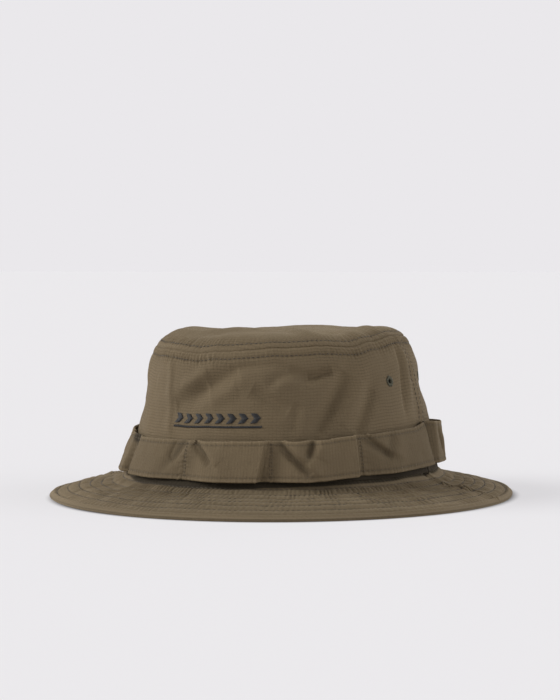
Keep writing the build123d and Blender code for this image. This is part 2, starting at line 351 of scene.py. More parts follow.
def stitch_rows(
    name, lines, material, pitch=STITCH_PITCH, length=STITCH_LENGTH, width=STITCH_WIDTH,
    lift=0.1, seed=1,
):
    """Separate stitches along lines of (points, normals), each one a bead that dips at its ends."""
    draw = np.random.default_rng(seed)
    stations = np.array([-1.0, -0.6, 0.6, 1.0])
    girth = np.array([0.45, 1.0, 1.0, 0.45])
    rise = np.array([-0.16, 0.0, 0.0, -0.16])
    sides = 5
    ring_turn = 2 * np.pi * np.arange(sides) / sides
    vertices, faces = [], []
    base = 0
    for points, normals in lines:
        total = line_length(points)
        count = max(1, int(total / pitch))
        centre = (np.arange(count) + 0.5) * total / count
        centre = centre + draw.uniform(-0.12, 0.12, count)
        swing = draw.uniform(-0.07, 0.07, count)
        both = np.concatenate([points, normals], axis=1)
        spots = walk(both, (centre[:, None] + stations[None] * length / 2).ravel())
        spots = spots.reshape(count, len(stations), 6)
        middle, normal = spots[..., :3], unit(spots[..., 3:])
        ahead = unit(middle[:, -1:] - middle[:, :1])
        across = unit(np.cross(ahead, normal))
        middle = middle + normal * (lift + rise)[None, :, None]
        middle = middle + across * (swing[:, None] * stations[None])[..., None]
        ring = (
            across[:, :, None] * np.cos(ring_turn)[None, None, :, None]
            + normal[:, :, None] * np.sin(ring_turn)[None, None, :, None] * 0.7
        )
        skin = middle[:, :, None] + ring * (girth * width / 2)[None, :, None, None]
        vertices.append(skin.reshape(-1, 3))
        block = len(stations) * sides
        starts = base + np.arange(count) * block
        for station in range(len(stations) - 1):
            for side in range(sides):
                after = (side + 1) % sides
                low, high = station * sides, (station + 1) * sides
                quad = np.array([low + side, low + after, high + after, high + side])
                faces.append(starts[:, None] + quad[None])
        first = np.arange(sides)[::-1]
        last = np.arange(sides) + (len(stations) - 1) * sides
        faces.append(starts[:, None] + first[None])
        faces.append(starts[:, None] + last[None])
        base += count * block
    every_face = [face for group in faces for face in group.tolist()]
    return make_object(name, np.concatenate(vertices), every_face, material)


def settle(obj, slot, *nodes):
    """The finished piece rides on the hat and stands for CAD nodes, which it hides. The slot is not
    used.
    """
    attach(obj, BODY)
    if nodes:
        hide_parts(*nodes)
    return obj


# ---------------------------------------------------------------- materials


def node_tree(name):
    """A new material with its nodes, links and Principled shader."""
    material = bpy.data.materials.new(name)
    material.use_nodes = True
    tree = material.node_tree
    return material, tree, tree.nodes["Principled BSDF"]


def add_node(tree, kind, **settings):
    """A new node. Settings are its properties, or with a leading input_, its inputs."""
    made = tree.nodes.new(kind)
    for key, value in settings.items():
        if key.startswith("input_"):
            made.inputs[key[6:].replace("_", " ")].default_value = value
        else:
            setattr(made, key, value)
    return made


def math_node(tree, operation, first, second=None, third=None):
    """The output of a Math node whose inputs are sockets or numbers."""
    made = tree.nodes.new("ShaderNodeMath")
    made.operation = operation
    for place_in, given in enumerate((first, second, third)):
        if given is None:
            continue
        if isinstance(given, (int, float)):
            made.inputs[place_in].default_value = given
        else:
            tree.links.new(given, made.inputs[place_in])
    return made.outputs[0]


def mix_colour(tree, share, first, second):
    """The output of a colour mix; each input is a socket, a number or a colour."""
    made = tree.nodes.new("ShaderNodeMix")
    made.data_type = "RGBA"
    for key, given in ((0, share), (6, first), (7, second)):
        if isinstance(given, (int, float)):
            made.inputs[key].default_value = given
        elif isinstance(given, tuple):
            made.inputs[key].default_value = given
        else:
            tree.links.new(given, made.inputs[key])
    return made.outputs[2]


def srgb(red, green, blue):
    """A linear colour from 0 to 255 display values."""
    linear = []
    for value in (red, green, blue):
        share = value / 255
        linear.append(share / 12.92 if share <= 0.04045 else ((share + 0.055) / 1.055) ** 2.4)
    return (*linear, 1.0)


def stripes(tree, coordinate, pitch, width):
    """1 on thin lines at a pitch in metres along a coordinate, 0 between them."""
    turns = math_node(tree, "DIVIDE", coordinate, pitch)
    share = math_node(tree, "FRACT", turns)
    off = math_node(tree, "ABSOLUTE", math_node(tree, "SUBTRACT", share, 0.5))
    ramp = add_node(tree, "ShaderNodeMapRange", interpolation_type="SMOOTHSTEP")
    ramp.inputs["From Min"].default_value = width
    ramp.inputs["From Max"].default_value = width * 0.25
    tree.links.new(off, ramp.inputs["Value"])
    return ramp.outputs["Result"]


def shade(base, factor, lift=0.0):
    """A colour darkened or lightened by a factor."""
    return tuple(min(1.0, channel * factor + lift) for channel in base[:3]) + (1.0,)


def finish_shader(tree, shader, colour, rough, height, bump, distance, sheen, gloss):
    """Joins colour, roughness and a height to the shader, and sets its sheen and gloss."""
    tree.links.new(colour, shader.inputs["Base Color"])
    tree.links.new(rough, shader.inputs["Roughness"])
    shader.inputs["Sheen Weight"].default_value = sheen
    shader.inputs["Specular IOR Level"].default_value = gloss
    bumped = add_node(tree, "ShaderNodeBump")
    bumped.inputs["Strength"].default_value = bump
    bumped.inputs["Distance"].default_value = distance
    tree.links.new(height, bumped.inputs["Height"])
    tree.links.new(bumped.outputs[0], shader.inputs["Normal"])


def ripstop(name, base, across=1.0, along=0.35, bump=1.0, turned=False):
    """Ripstop cloth: a fine weave, a grid of heavier threads, mottled dye, worn edges, a painted
    highlight and painted shade.
    """
    material, tree, shader = node_tree(name)
    link = tree.links.new
    coordinates = add_node(tree, "ShaderNodeUVMap", uv_map="cloth")
    wander = add_node(tree, "ShaderNodeTexNoise", input_Scale=160.0, input_Detail=2.0)
    link(coordinates.outputs[0], wander.inputs["Vector"])
    shift = math_node(tree, "MULTIPLY", math_node(tree, "SUBTRACT", wander.outputs[0], 0.5), 0.0011)
    split = add_node(tree, "ShaderNodeSeparateXYZ")
    link(coordinates.outputs[0], split.inputs[0])
    u, v = split.outputs[0], split.outputs[1]
    if turned:
        u, v = v, u
    wavy_u = math_node(tree, "ADD", u, shift)
    wavy_v = math_node(tree, "ADD", v, shift)
    rib_v = stripes(tree, wavy_v, 0.0018, 0.24)
    rib_u = stripes(tree, wavy_u, 0.0021, 0.2)
    fade = add_node(tree, "ShaderNodeTexNoise", input_Scale=55.0, input_Detail=3.0)
    link(coordinates.outputs[0], fade.inputs["Vector"])
    strength = add_node(tree, "ShaderNodeMapRange")
    strength.inputs["From Min"].default_value = 0.3
    strength.inputs["From Max"].default_value = 0.68
    strength.inputs["To Min"].default_value = 0.35
    strength.inputs["To Max"].default_value = 1.0
    link(fade.outputs[0], strength.inputs["Value"])
    ribs = math_node(
        tree,
        "ADD",
        math_node(tree, "MULTIPLY", rib_v, across),
        math_node(tree, "MULTIPLY", rib_u, along),
    )
    ribs = math_node(tree, "MULTIPLY", ribs, strength.outputs[0])
    weave_u = math_node(tree, "SINE", math_node(tree, "MULTIPLY", u, 2 * math.pi / 0.00045))
    weave_v = math_node(tree, "SINE", math_node(tree, "MULTIPLY", v, 2 * math.pi / 0.00045))
    weave = math_node(tree, "MULTIPLY", weave_u, weave_v)
    dye = add_node(tree, "ShaderNodeTexNoise", input_Scale=28.0, input_Detail=5.0)
    link(coordinates.outputs[0], dye.inputs["Vector"])
    speck = add_node(tree, "ShaderNodeTexNoise", input_Scale=1400.0, input_Detail=1.0)
    link(coordinates.outputs[0], speck.inputs["Vector"])
    pale = shade(base, 1.7, 0.012)
    colour = mix_colour(tree, dye.outputs[0], shade(base, 0.80), shade(base, 1.17))
    rib_share = math_node(tree, "MULTIPLY", ribs, 0.68)
    colour = mix_colour(tree, rib_share, colour, shade(base, 0.5))
    speck_share = math_node(
        tree, "MULTIPLY", math_node(tree, "SUBTRACT", speck.outputs[0], 0.42), 0.55
    )
    speck_share = math_node(tree, "MAXIMUM", speck_share, 0.0)
    colour = mix_colour(tree, speck_share, colour, pale)
    # Lighter where the attribute is high: real wear at edges and seams, and a painted highlight on the
    # brim's sides and round the front of crown and band
    wear_and_painted_light = add_node(tree, "ShaderNodeAttribute", attribute_name="wear_and_painted_light")
    wear_and_light_share = math_node(tree, "MULTIPLY", wear_and_painted_light.outputs["Fac"], 0.42)
    colour = mix_colour(tree, math_node(tree, "MINIMUM", wear_and_light_share, 0.5), colour, pale)
    # Painted shade: towards a near-black olive in creases, stitch rows, recesses and under the band,
    # where shade falls
    painted_shade = add_node(tree, "ShaderNodeAttribute", attribute_name="painted_shade")
    painted_shade_share = math_node(tree, "MULTIPLY", painted_shade.outputs["Fac"], 0.6)
    colour = mix_colour(tree, math_node(tree, "MINIMUM", painted_shade_share, 0.95), colour, shade(base, 0.14))
    rough = math_node(tree, "MULTIPLY_ADD", dye.outputs[0], 0.12, 0.78)
    shader.inputs["Sheen Roughness"].default_value = 0.4
    shader.inputs["Sheen Tint"].default_value = srgb(235, 215, 175)
    height = math_node(tree, "MULTIPLY_ADD", ribs, -0.9, math_node(tree, "MULTIPLY", weave, 0.22))
    fuzz = math_node(tree, "MULTIPLY_ADD", speck.outputs[0], 0.35, height)
    finish_shader(tree, shader, colour, rough, fuzz, 0.75, 0.00016 * bump, 0.2, 0.2)
    return material


def thread(name, base, gloss=0.5, twist=0.0009):
    """Sewing or embroidery thread: fine slanting plies with a soft gloss."""
    material, tree, shader = node_tree(name)
    link = tree.links.new
    coordinates = add_node(tree, "ShaderNodeTexCoord")
    split = add_node(tree, "ShaderNodeSeparateXYZ")
    link(coordinates.outputs["Object"], split.inputs[0])
    slant = math_node(tree, "ADD", split.outputs[1], split.outputs[2])
    slant = math_node(tree, "ADD", split.outputs[0], slant)
    plies = math_node(tree, "SINE", math_node(tree, "MULTIPLY", slant, 2 * math.pi / twist))
    dye = add_node(tree, "ShaderNodeTexNoise", input_Scale=420.0, input_Detail=2.0)
    link(coordinates.outputs["Object"], dye.inputs["Vector"])
    colour = mix_colour(tree, dye.outputs[0], shade(base, 0.72), shade(base, 1.25))
    rough = math_node(tree, "MULTIPLY_ADD", dye.outputs[0], 0.2, 0.75 - 0.35 * gloss)
    finish_shader(tree, shader, colour, rough, plies, 0.5, 0.00008, 0.1, 0.35)
    return material


def plain_weave(name, base, pitch=0.0006):
    """Tape, lining and label cloth: an even over-and-under weave with soft mottling."""
    material, tree, shader = node_tree(name)
    link = tree.links.new
    coordinates = add_node(tree, "ShaderNodeUVMap", uv_map="cloth")
    split = add_node(tree, "ShaderNodeSeparateXYZ")
    link(coordinates.outputs[0], split.inputs[0])
    slant = math_node(tree, "ADD", split.outputs[0], split.outputs[1])
    first = math_node(tree, "SINE", math_node(tree, "MULTIPLY", slant, 2 * math.pi / pitch))
    second = math_node(
        tree, "SINE", math_node(tree, "MULTIPLY", split.outputs[1], 2 * math.pi / pitch)
    )
    weave = math_node(tree, "MULTIPLY", first, second)
    dye = add_node(tree, "ShaderNodeTexNoise", input_Scale=60.0, input_Detail=4.0)
    link(coordinates.outputs[0], dye.inputs["Vector"])
    dark = shade(base, 0.82)
    colour = mix_colour(tree, dye.outputs[0], dark, shade(base, 1.15))
    colour = mix_colour(tree, math_node(tree, "MULTIPLY_ADD", weave, 0.12, 0.12), colour, dark)
    rough = math_node(tree, "MULTIPLY_ADD", dye.outputs[0], 0.1, 0.8)
    finish_shader(tree, shader, colour, rough, weave, 0.6, 0.0001, 0.1, 0.25)
    return material


OLIVE = srgb(105, 91, 69)
crown_cloth = ripstop("crown_ripstop", OLIVE, across=0.8)
tip_cloth = ripstop("tip_ripstop", OLIVE, across=0.6, along=0.45)
brim_cloth = ripstop("brim_ripstop", srgb(105, 92, 71), across=0.4, along=0.3, bump=0.8)
band_cloth = ripstop("band_ripstop", OLIVE, across=0.5, along=0.16, turned=True)
# The olive thread is darker than the cloth: painted shade of the holes the stitches sink into
olive_thread = thread("olive_thread", srgb(70, 60, 45))
band_thread = thread("band_thread", srgb(90, 78, 58))
charcoal_thread = thread("charcoal_thread", srgb(36, 35, 35), gloss=0.8, twist=0.0012)
eyelet_thread = thread("eyelet_thread", srgb(84, 82, 66), gloss=0.5)
sweatband_cloth = plain_weave("sweatband_twill", srgb(88, 78, 60))
tape_cloth = plain_weave("seam_tape_twill", srgb(78, 70, 56), pitch=0.0009)
interlining_cloth = plain_weave("interlining_felt", srgb(92, 82, 62), pitch=0.0005)
label_cloth = plain_weave("label_satin", srgb(40, 40, 40), pitch=0.0004)


# ---------------------------------------------------------------- crown

# How far the tip seam stands above or below its height in the frame
SEAM_LIFT = [
    (-90, -2.0), (-60, -2.6), (-35, -3.2), (-14, -4.9), (-2, -3.6), (25, -1.4), (44, -0.4), (58, -1.2),
    (68, 1.4), (86, 4.4), (115, 3.0), (180, 0.5), (225, -1.0),
]

# Soft folds of the side panels: start, end, width, and how far the cloth stands out
CROWN_FOLDS = [
    ((-23, 60), (-7, 71), 6.2, -2.7), ((-7, 72), (6, 81), 5.2, -1.8), ((-21, 71), (-8, 82), 4.4, 1.5),
    ((2, 83), (25, 83), 2.6, -0.9), ((18, 71), (27, 79), 3.2, -1.1), ((27, 80), (36, 75), 3.2, -1.8),
    ((34.5, 75), (45, 79), 3.0, -3.4), ((22, 72), (30, 73), 4.0, 1.0),
    ((12, 69.5), (27, 57), 4.2, -2.0), ((-6, 64), (6, 71), 5.5, 1.4), ((51, 78), (37, 44), 4.8, -3.3),
    ((58, 73), (47, 47), 4.2, 1.6), ((62.5, 67), (53, 43), 4.0, -2.0),
    ((30.5, 61), (28, 44), 3.6, -1.1), ((84, 90), (81, 52), 2.4, -1.3), ((88, 88), (86, 56), 3.6, 1.2),
    ((104, 68), (122, 60), 8.0, -1.6), ((-64, 62), (-58, 48), 9.0, -0.9),
    ((-66, 84), (-60, 72), 8.0, 1.2), ((120, 74), (140, 52), 6.0, -1.8),
    ((128, 78), (148, 60), 5.0, 1.2), ((150, 60), (165, 78), 6.0, 1.3),
    ((172, 72), (160, 48), 4.5, -1.7), ((185, 74), (200, 50), 5.0, -1.9),
    ((196, 80), (212, 66), 5.0, 1.2), ((215, 56), (235, 72), 5.0, -1.6),
    ((245, 78), (258, 56), 5.0, 1.3), ((-98, 80), (-88, 52), 5.0, -1.3),
]
# Strength of the gathers below the tip seam, by bearing
SIDE_GATHERS = [
    (-60, 0.2), (-30, 0.42), (-8, 0.4), (8, 0.18), (40, 0.22), (62, 0.45), (90, 0.34), (180, 0.25),
]
PRESSED_EDGE = ((-31, 92), (-23.5, 42))  # a long soft edge down the front panel
LOWER_ROW = 5.3  # rows of stitches below and inside the tip seam
UPPER_ROW = 3.0
SIDE_ROW = 3.1
BEHIND_BAND = 17.0  # run up to which the cloth behind the band gets painted shade


def seam_lift(bearing):
    """How far the tip seam stands above its height in the frame."""
    wobble = 0.3 * noise(np.radians(bearing) * 24, 0.5, 13)
    return round_the_hat(bearing, SEAM_LIFT) + wobble


def seam_wander(run, seam):
    """How far a side seam strays in bearing on its way up the wall."""
    share = np.clip(run / SIDE_RUN, 0, 1)
    amount = 5.0 if seam == 90 else -2.5
    return amount * np.sin(np.pi * share) ** 1.5


def gathers(along, across, seed):
    """Narrow gathers of sewn cloth, side by side along a seam."""
    drift = 1.5 * noise(along / 8, across / 5, seed) + 0.6 * noise(along / 3, across / 3, seed + 1)
    wave = np.sin(2 * np.pi * (along + drift) / 3.0)
    return wave * (0.75 + 0.55 * noise(along / 5, across / 5, seed + 2))


def side_section(run):
    """Radius, height and lean of the crown's side at a run up from the joint."""
    turn = np.clip((run - WALL_RUN) / SHOULDER_BEND, 0, None)
    straight = np.minimum(run, WALL_RUN)
    radius = JOINT_RADIUS - straight * math.sin(WALL_LEAN)
    height = JOINT_HEIGHT + straight * math.cos(WALL_LEAN)
    lean = WALL_LEAN + turn
    radius = radius - SHOULDER_BEND * (math.cos(WALL_LEAN) - np.cos(lean))
    height = height + SHOULDER_BEND * (np.sin(lean) - math.sin(WALL_LEAN))
    return radius, height, lean


def crown_relief(bearing, run):
    """How far the cloth of the crown's side stands out from its plain section."""
    arc = np.radians(bearing) * CROWN_ARC
    height = JOINT_HEIGHT + run * 0.97
    below_seam = SIDE_RUN - run
    relief = 1.0 * layered_noise(arc / 34, run / 27, 11)
    relief = relief + 0.28 * layered_noise(arc / 9, run / 12, 17)
    for start, end, width, out in CROWN_FOLDS:
        relief = relief + FOLD_STRENGTH * out * crease(bearing, height, start, end, width)
    relief = relief + FOLD_STRENGTH * crease(bearing, height, *PRESSED_EDGE, 4.6, 88.0, 2.2)
    relief = relief * smooth(below_seam / 12) * smooth((run + 6) / 14)
    swell = round_the_hat(bearing, SIDE_GATHERS)
    closing = smooth(below_seam / 2.2)
    relief = relief + gathers(arc, below_seam, 23) * swell * bell(below_seam - 4.4, 4.4) * closing
    allowance = smooth((LOWER_ROW + 1.2 - below_seam) / 1.6) * closing
    relief = relief + 0.26 * allowance - 0.4 * bell(below_seam - LOWER_ROW, 0.7)
    relief = relief - 0.12 * (1 - smooth(below_seam / 1.3))
    for seam in (90, 270):
        off = angle_gap(bearing, seam + seam_wander(run, seam)) * math.radians(1) * 82.0
        relief = relief + 0.5 * smooth((SIDE_ROW + 1.4 - np.abs(off)) / 1.4)
        relief = relief - 0.3 * bell(np.abs(off) - SIDE_ROW, 0.7)
        relief = relief + 0.3 * gathers(run, off, 31 + seam) * bell(np.abs(off) - 2.0, 4.6) * closing
        lumps = noise(run / 4.5, off / 6, 33 + seam)
        relief = relief + 0.5 * lumps * bell(np.abs(off) - 2.0, 5.5) * closing
        relief = relief - 0.5 * bell(off, 0.7)
    return relief


def crown_surface(bearing, run):
    """Points of the crown's side, wrinkles included."""
    radius, height, lean = side_section(run)
    relief = crown_relief(bearing, run)
    lift = seam_lift(bearing)
    radius = radius + relief * np.cos(lean)
    height = height + relief * np.sin(lean)
    height = height + lift * smooth(run / SIDE_RUN)
    return place(bearing, radius, height)


def crown_panel(side, first_seam, last_seam):
    """Front or back half of the crown's side, from one side seam to the other."""
    rows, columns = 112, 390
    run = np.linspace(0.3, SIDE_RUN - 0.9, rows)[:, None]
    start = first_seam + seam_wander(run, first_seam % 360) + 0.34
    end = last_seam + seam_wander(run, last_seam % 360) - 0.34
    share = np.linspace(0, 1, columns)[None, :]
    bearing = start + (end - start) * share
    points = crown_surface(bearing, run)
    arc = np.radians(bearing) * CROWN_ARC
    sway = 0.5 * noise(arc / 30, run / 30, 41)
    uv = np.stack(np.broadcast_arrays(arc, run + sway), axis=-1)
    below = SIDE_RUN - run + 0 * share
    # Painted shade on the cloth behind the band
    shade_behind_band = 1.6 * smooth((BEHIND_BAND - run) / 5.0) + 0 * bearing
    from_start = (bearing - start) * math.radians(1) * 82
    from_end = (end - bearing) * math.radians(1) * 82
    beside = bell(np.minimum(from_start, from_end), 0.9)
    # Lighter along the seams from wear, with a painted highlight round the front; painted shade in the
    # stitch row, at the seam and behind the band
    values = {
        "wear_and_painted_light": np.maximum(0.3 * bell(below - 1.4, 0.9), 0.8 * beside)
        + 0.22 * bell(angle_gap(bearing, 24), 24),
        "painted_shade": 0.4 * bell(below - LOWER_ROW, 0.6) + 0.15 * bell(below - 0.3, 0.7) + shade_behind_band,
    }
    piece = cloth_piece(f"crown_{side}_panel_cloth", points, uv, crown_cloth, values=values)
    cutters = eyelet_cutter([at for at in EYELETS if first_seam < (at + 90) % 360 - 90 < last_seam])
    cut = piece.modifiers.new("eyelets", "BOOLEAN")
    cut.operation = "DIFFERENCE"
    cut.solver = "EXACT"
    cut.object = cutters
    bpy.context.view_layer.update()
    evaluated = piece.evaluated_get(bpy.context.evaluated_depsgraph_get())
    holed = bpy.data.meshes.new_from_object(evaluated)
    piece.modifiers.clear()
    piece.data = holed
    bpy.data.objects.remove(cutters)
    return settle(piece, "shell_cloth", f"crown_{side}_panel")


# Soft ridges and hollows of the tip in plan: x, y, length, width, bearing of its length, rise
TIP_FOLDS = [
    (-44, -42, 30, 6, 60, 1.7), (-16, -60, 34, 7, 84, -1.0), (-8, -46, 46, 7, 95, 1.8),
    (32, -44, 22, 6, 55, 1.9), (44, -28, 20, 6, 40, -2.2), (6, -22, 60, 12, 90, -1.8),
    (-34, 30, 44, 18, 70, -2.4), (30, 34, 34, 20, 110, -1.2), (56, -8, 22, 8, 10, 1.2),
    (-56, -8, 26, 9, 10, 1.2),
]


def tip_surface(bearing, radius):
    """Points of the tip at a round radius, wrinkles included."""
    reach = SEAM_RADIUS - 58.0
    drop = TIP_HEIGHT - SEAM_HEIGHT
    bend = (reach**2 + drop**2) / (2 * drop)
    past = np.clip(radius - 58.0, 0, reach)
    height = TIP_HEIGHT - (bend - np.sqrt(bend**2 - past**2))
    outward = np.clip((radius + 0.5) / SEAM_RADIUS, 0, 1)
    turn = np.radians(bearing)
    x, y = radius * np.sin(turn), -STRETCH * radius * np.cos(turn)
    relief = 0.9 * layered_noise(x / 30 + 5, y / 30, 51) + 0.22 * layered_noise(x / 8, y / 8, 53)
    for fold_x, fold_y, length, width, way, rise in TIP_FOLDS:
        lie = math.radians(way)
        along = (x - fold_x) * math.sin(lie) - (y - fold_y) * math.cos(lie)
        across = (x - fold_x) * math.cos(lie) + (y - fold_y) * math.sin(lie)
        relief = relief + rise * bell(along, length / 2) * bell(across, width)
    inside = SEAM_RADIUS - radius
    relief = relief * smooth(inside / 12)
    swell = round_the_hat(
        bearing, [(-60, 0.2), (-20, 0.34), (5, 0.14), (50, 0.24), (66, 0.4), (90, 0.3), (180, 0.25)]
    )
    closing = smooth(inside / 2.2)
    relief = relief + gathers(turn * 76.0, inside, 57) * swell * bell(inside - 4.0, 4.6) * closing
    relief = relief + 0.26 * smooth((UPPER_ROW + 1.2 - inside) / 1.4) * closing
    relief = relief - 0.38 * bell(inside - UPPER_ROW, 0.7)
    relief = relief - 0.05 * (1 - smooth(inside / 1.3))
    lift = seam_lift(bearing) * outward**5
    return place(bearing, radius, height + relief + lift)


def tip():
    """The oval tip, a disc of cloth in rings that are closest near its edge."""
    rows, columns = 56, 780
    share = np.linspace(0, 1, rows)[:, None]
    radius = (SEAM_RADIUS - 0.4) * (1 - share**1.5) + 0.05
    bearing = np.linspace(-180, 180, columns, endpoint=False)[None, :] + 0 * radius
    points = tip_surface(bearing, radius)
    turn = np.radians(np.linspace(-180, 180, columns + 1))[None, :]
    plan = np.stack([radius * np.sin(turn), -STRETCH * radius * np.cos(turn)], axis=-1)
    inside = SEAM_RADIUS - radius + 0 * turn
    # Lighter from wear at the seam; painted shade in the stitch row and at the seam
    values = {
        "wear_and_painted_light": 0.3 * bell(inside - 1.4, 0.9),
        "painted_shade": 0.5 * bell(inside - UPPER_ROW, 0.6) + 0.15 * bell(inside - 0.3, 0.7),
    }
    piece = cloth_piece("crown_tip_cloth", points, plan, tip_cloth, wrap=True, values=values)
    return settle(piece, "shell_cloth", "crown_tip")


def seam_allowance():
    """The turned-in cloth that closes the seam between the tip and the side from within."""
    columns = 720
    bearing = np.linspace(-180, 180, columns, endpoint=False)[None, :]
    rows = [crown_surface(bearing, SIDE_RUN - below + 0 * bearing) for below in (3.2, 2.2, 1.2)]
    rows += [tip_surface(bearing, SEAM_RADIUS - inside + 0 * bearing) for inside in (1.0, 2.0, 3.0)]
    points = np.concatenate(rows)
    normal = grid_normals(points, True)
    points = points - 0.42 * unit(normal + np.array([0, 0, 0.4]))
    arc = np.radians(np.linspace(-180, 180, columns + 1))[None, :] * 78.0
    uv = np.stack(np.broadcast_arrays(arc, np.arange(len(points))[:, None] * 1.0), axis=-1)
    piece = cloth_piece("tip_seam_allowance", points, uv, tip_cloth, thickness=0.5, wrap=True)
    settle(piece, "shell_cloth")


def surface_line(surface, first, second):
    """A line on a surface given by two parameter arrays, with its outward normals."""
    points = surface(first, second)
    step = 0.05
    by_first = surface(first + step, second) - points
    by_second = surface(first, second + step) - points
    return points, unit(np.cross(by_first, by_second))


def crown_stitching():
    """Rows beside the tip seam and up both side seams."""
    bearing = np.linspace(-180, 180, 2000)
    below = surface_line(crown_surface, bearing, np.full(2000, SIDE_RUN - LOWER_ROW))
    points, normals = surface_line(tip_surface, bearing, np.full(2000, SEAM_RADIUS - UPPER_ROW))
    piece = stitch_rows("tip_topstitching", [(points, -normals), below], olive_thread, seed=3)
    settle(piece, "matching_thread", "tip_stitching")
    run = np.linspace(30.0, SIDE_RUN - 3.0, 240)
    for side, seam in (("left", 90), ("right", 270)):
        lines = []
        for offset in (-SIDE_ROW, SIDE_ROW):
            bearing = seam + seam_wander(run, seam) + math.degrees(offset / 82.0)
            lines.append(surface_line(crown_surface, bearing, run))
        piece = stitch_rows(f"side_seam_topstitching_{side}", lines, olive_thread, seed=5)
        settle(piece, "matching_thread", f"side_seam_stitching_{side}")


# ---------------------------------------------------------------- eyelets and embroidery

EYELET_HEIGHT = 70.0
EYELETS = {72.5: "left_front", 105.5: "left_back", 254.5: "right_back", 285.5: "right_front"}
EYELET_HOLE = 1.35


def run_at(height):
    """The run up the crown's side that reaches a height on the straight wall."""
    return (height - JOINT_HEIGHT) / math.cos(WALL_LEAN)


def wall_frame(bearing, height):
    """A point of the crown's side with its outward, sideways and upward directions."""
    run = run_at(height)
    point = crown_surface(np.array([bearing]), np.array([run]))[0]
    beside = crown_surface(np.array([bearing + 0.7]), np.array([run]))[0]
    above = crown_surface(np.array([bearing]), np.array([run + 1.0]))[0]
    side = unit(beside - point)
    out = unit(np.cross(side, above - point))
    return point, out, side, np.cross(out, side)


def eyelet_cutter(bearings):
    """Round pegs through the crown's side at the eyelets, as one object."""
    sides = 20
    vertices, faces = [], []
    for bearing in bearings:
        point, out, side, up = wall_frame(bearing, EYELET_HEIGHT)
        turn = 2 * np.pi * np.arange(sides) / sides
        ring = side * np.cos(turn)[:, None] + up * np.sin(turn)[:, None]
        base = len(vertices)
        for depth in (-4.0, 4.0):
            vertices += list(point + out * depth + ring * EYELET_HOLE * 1.06)
        for step in range(sides):
            after = (step + 1) % sides
            faces.append([base + step, base + after, base + sides + after, base + sides + step])
        faces.append([base + step for step in range(sides)][::-1])
        faces.append([base + sides + step for step in range(sides)])
    return make_object("eyelet_pegs", np.array(vertices), faces, olive_thread)


def bead_object(name, middle, normal, material, width, flat=0.7, lift=0.1):
    """Threads side by side, each a bead through its own row of middle points."""
    count, stations = middle.shape[:2]
    share = np.linspace(-1, 1, stations)
    girth = 0.45 + 0.55 * np.clip(1 - np.abs(share) ** 3, 0, 1)
    ahead = unit(np.gradient(middle, axis=1))
    across = unit(np.cross(ahead, normal))
    sides = 6
    turn = 2 * np.pi * np.arange(sides) / sides
    ring = across[:, :, None] * np.cos(turn)[None, None, :, None]
    ring = ring + normal[:, :, None] * np.sin(turn)[None, None, :, None] * flat
    skin = (middle + normal * lift)[:, :, None] + ring * (girth * width / 2)[None, :, None, None]
    faces = []
    starts = np.arange(count)[:, None] * stations * sides
    for station in range(stations - 1):
        for step in range(sides):
            after = (step + 1) % sides
            low, high = station * sides, (station + 1) * sides
            faces.append(starts + np.array([[low + step, low + after, high + after, high + step]]))
    faces.append(starts + np.arange(sides)[None, ::-1])
    faces.append(starts + np.arange(sides)[None] + (stations - 1) * sides)
    every_face = [face for group in faces for face in group.tolist()]
    return make_object(name, skin.reshape(-1, 3), every_face, material)


def eyelets():
    """Four vents, each bound round with buttonhole stitches over a raised ring."""
    for bearing, name in EYELETS.items():
        point, out, side, up = wall_frame(bearing, EYELET_HEIGHT)
        draw = np.random.default_rng(int(bearing))
        count = 26
        turn = 2 * np.pi * (np.arange(count) + draw.uniform(-0.2, 0.2, count)) / count
        reach = draw.uniform(2.6, 3.1, count) * (1 + 0.16 * np.sin(turn) ** 2)
        way = side * np.cos(turn)[:, None] + up * np.sin(turn)[:, None]
        steps = [(0.0, -0.9), (0.05, 0.1), (0.4, 0.62), (0.8, 0.42), (1.0, -0.1)]
        middle = []
        for share, rise in steps:
            distance = EYELET_HOLE + (reach - EYELET_HOLE) * share
            middle.append(point + way * distance[:, None] + out * rise)
        middle = np.stack(middle, axis=1)
        normal = np.broadcast_to(out, middle.shape) + 0.6 * way[:, None] * np.array(
            [-1.2, -0.8, 0, 0.5, 0.8]
        )[None, :, None]
        ring = bead_object(f"eyelet_{name}_thread", middle, unit(normal), eyelet_thread, 0.62, 0.9, 0.0)
        settle(ring, "eyelet_thread", f"eyelet_{name}")


MOTIF_LOW, MOTIF_HIGH = cad_box("front_motif")
MOTIF_MARKS = 8
MOTIF_STROKE = 4.0
MOTIF_BAR = 1.3
MOTIF_RISE = 0.62


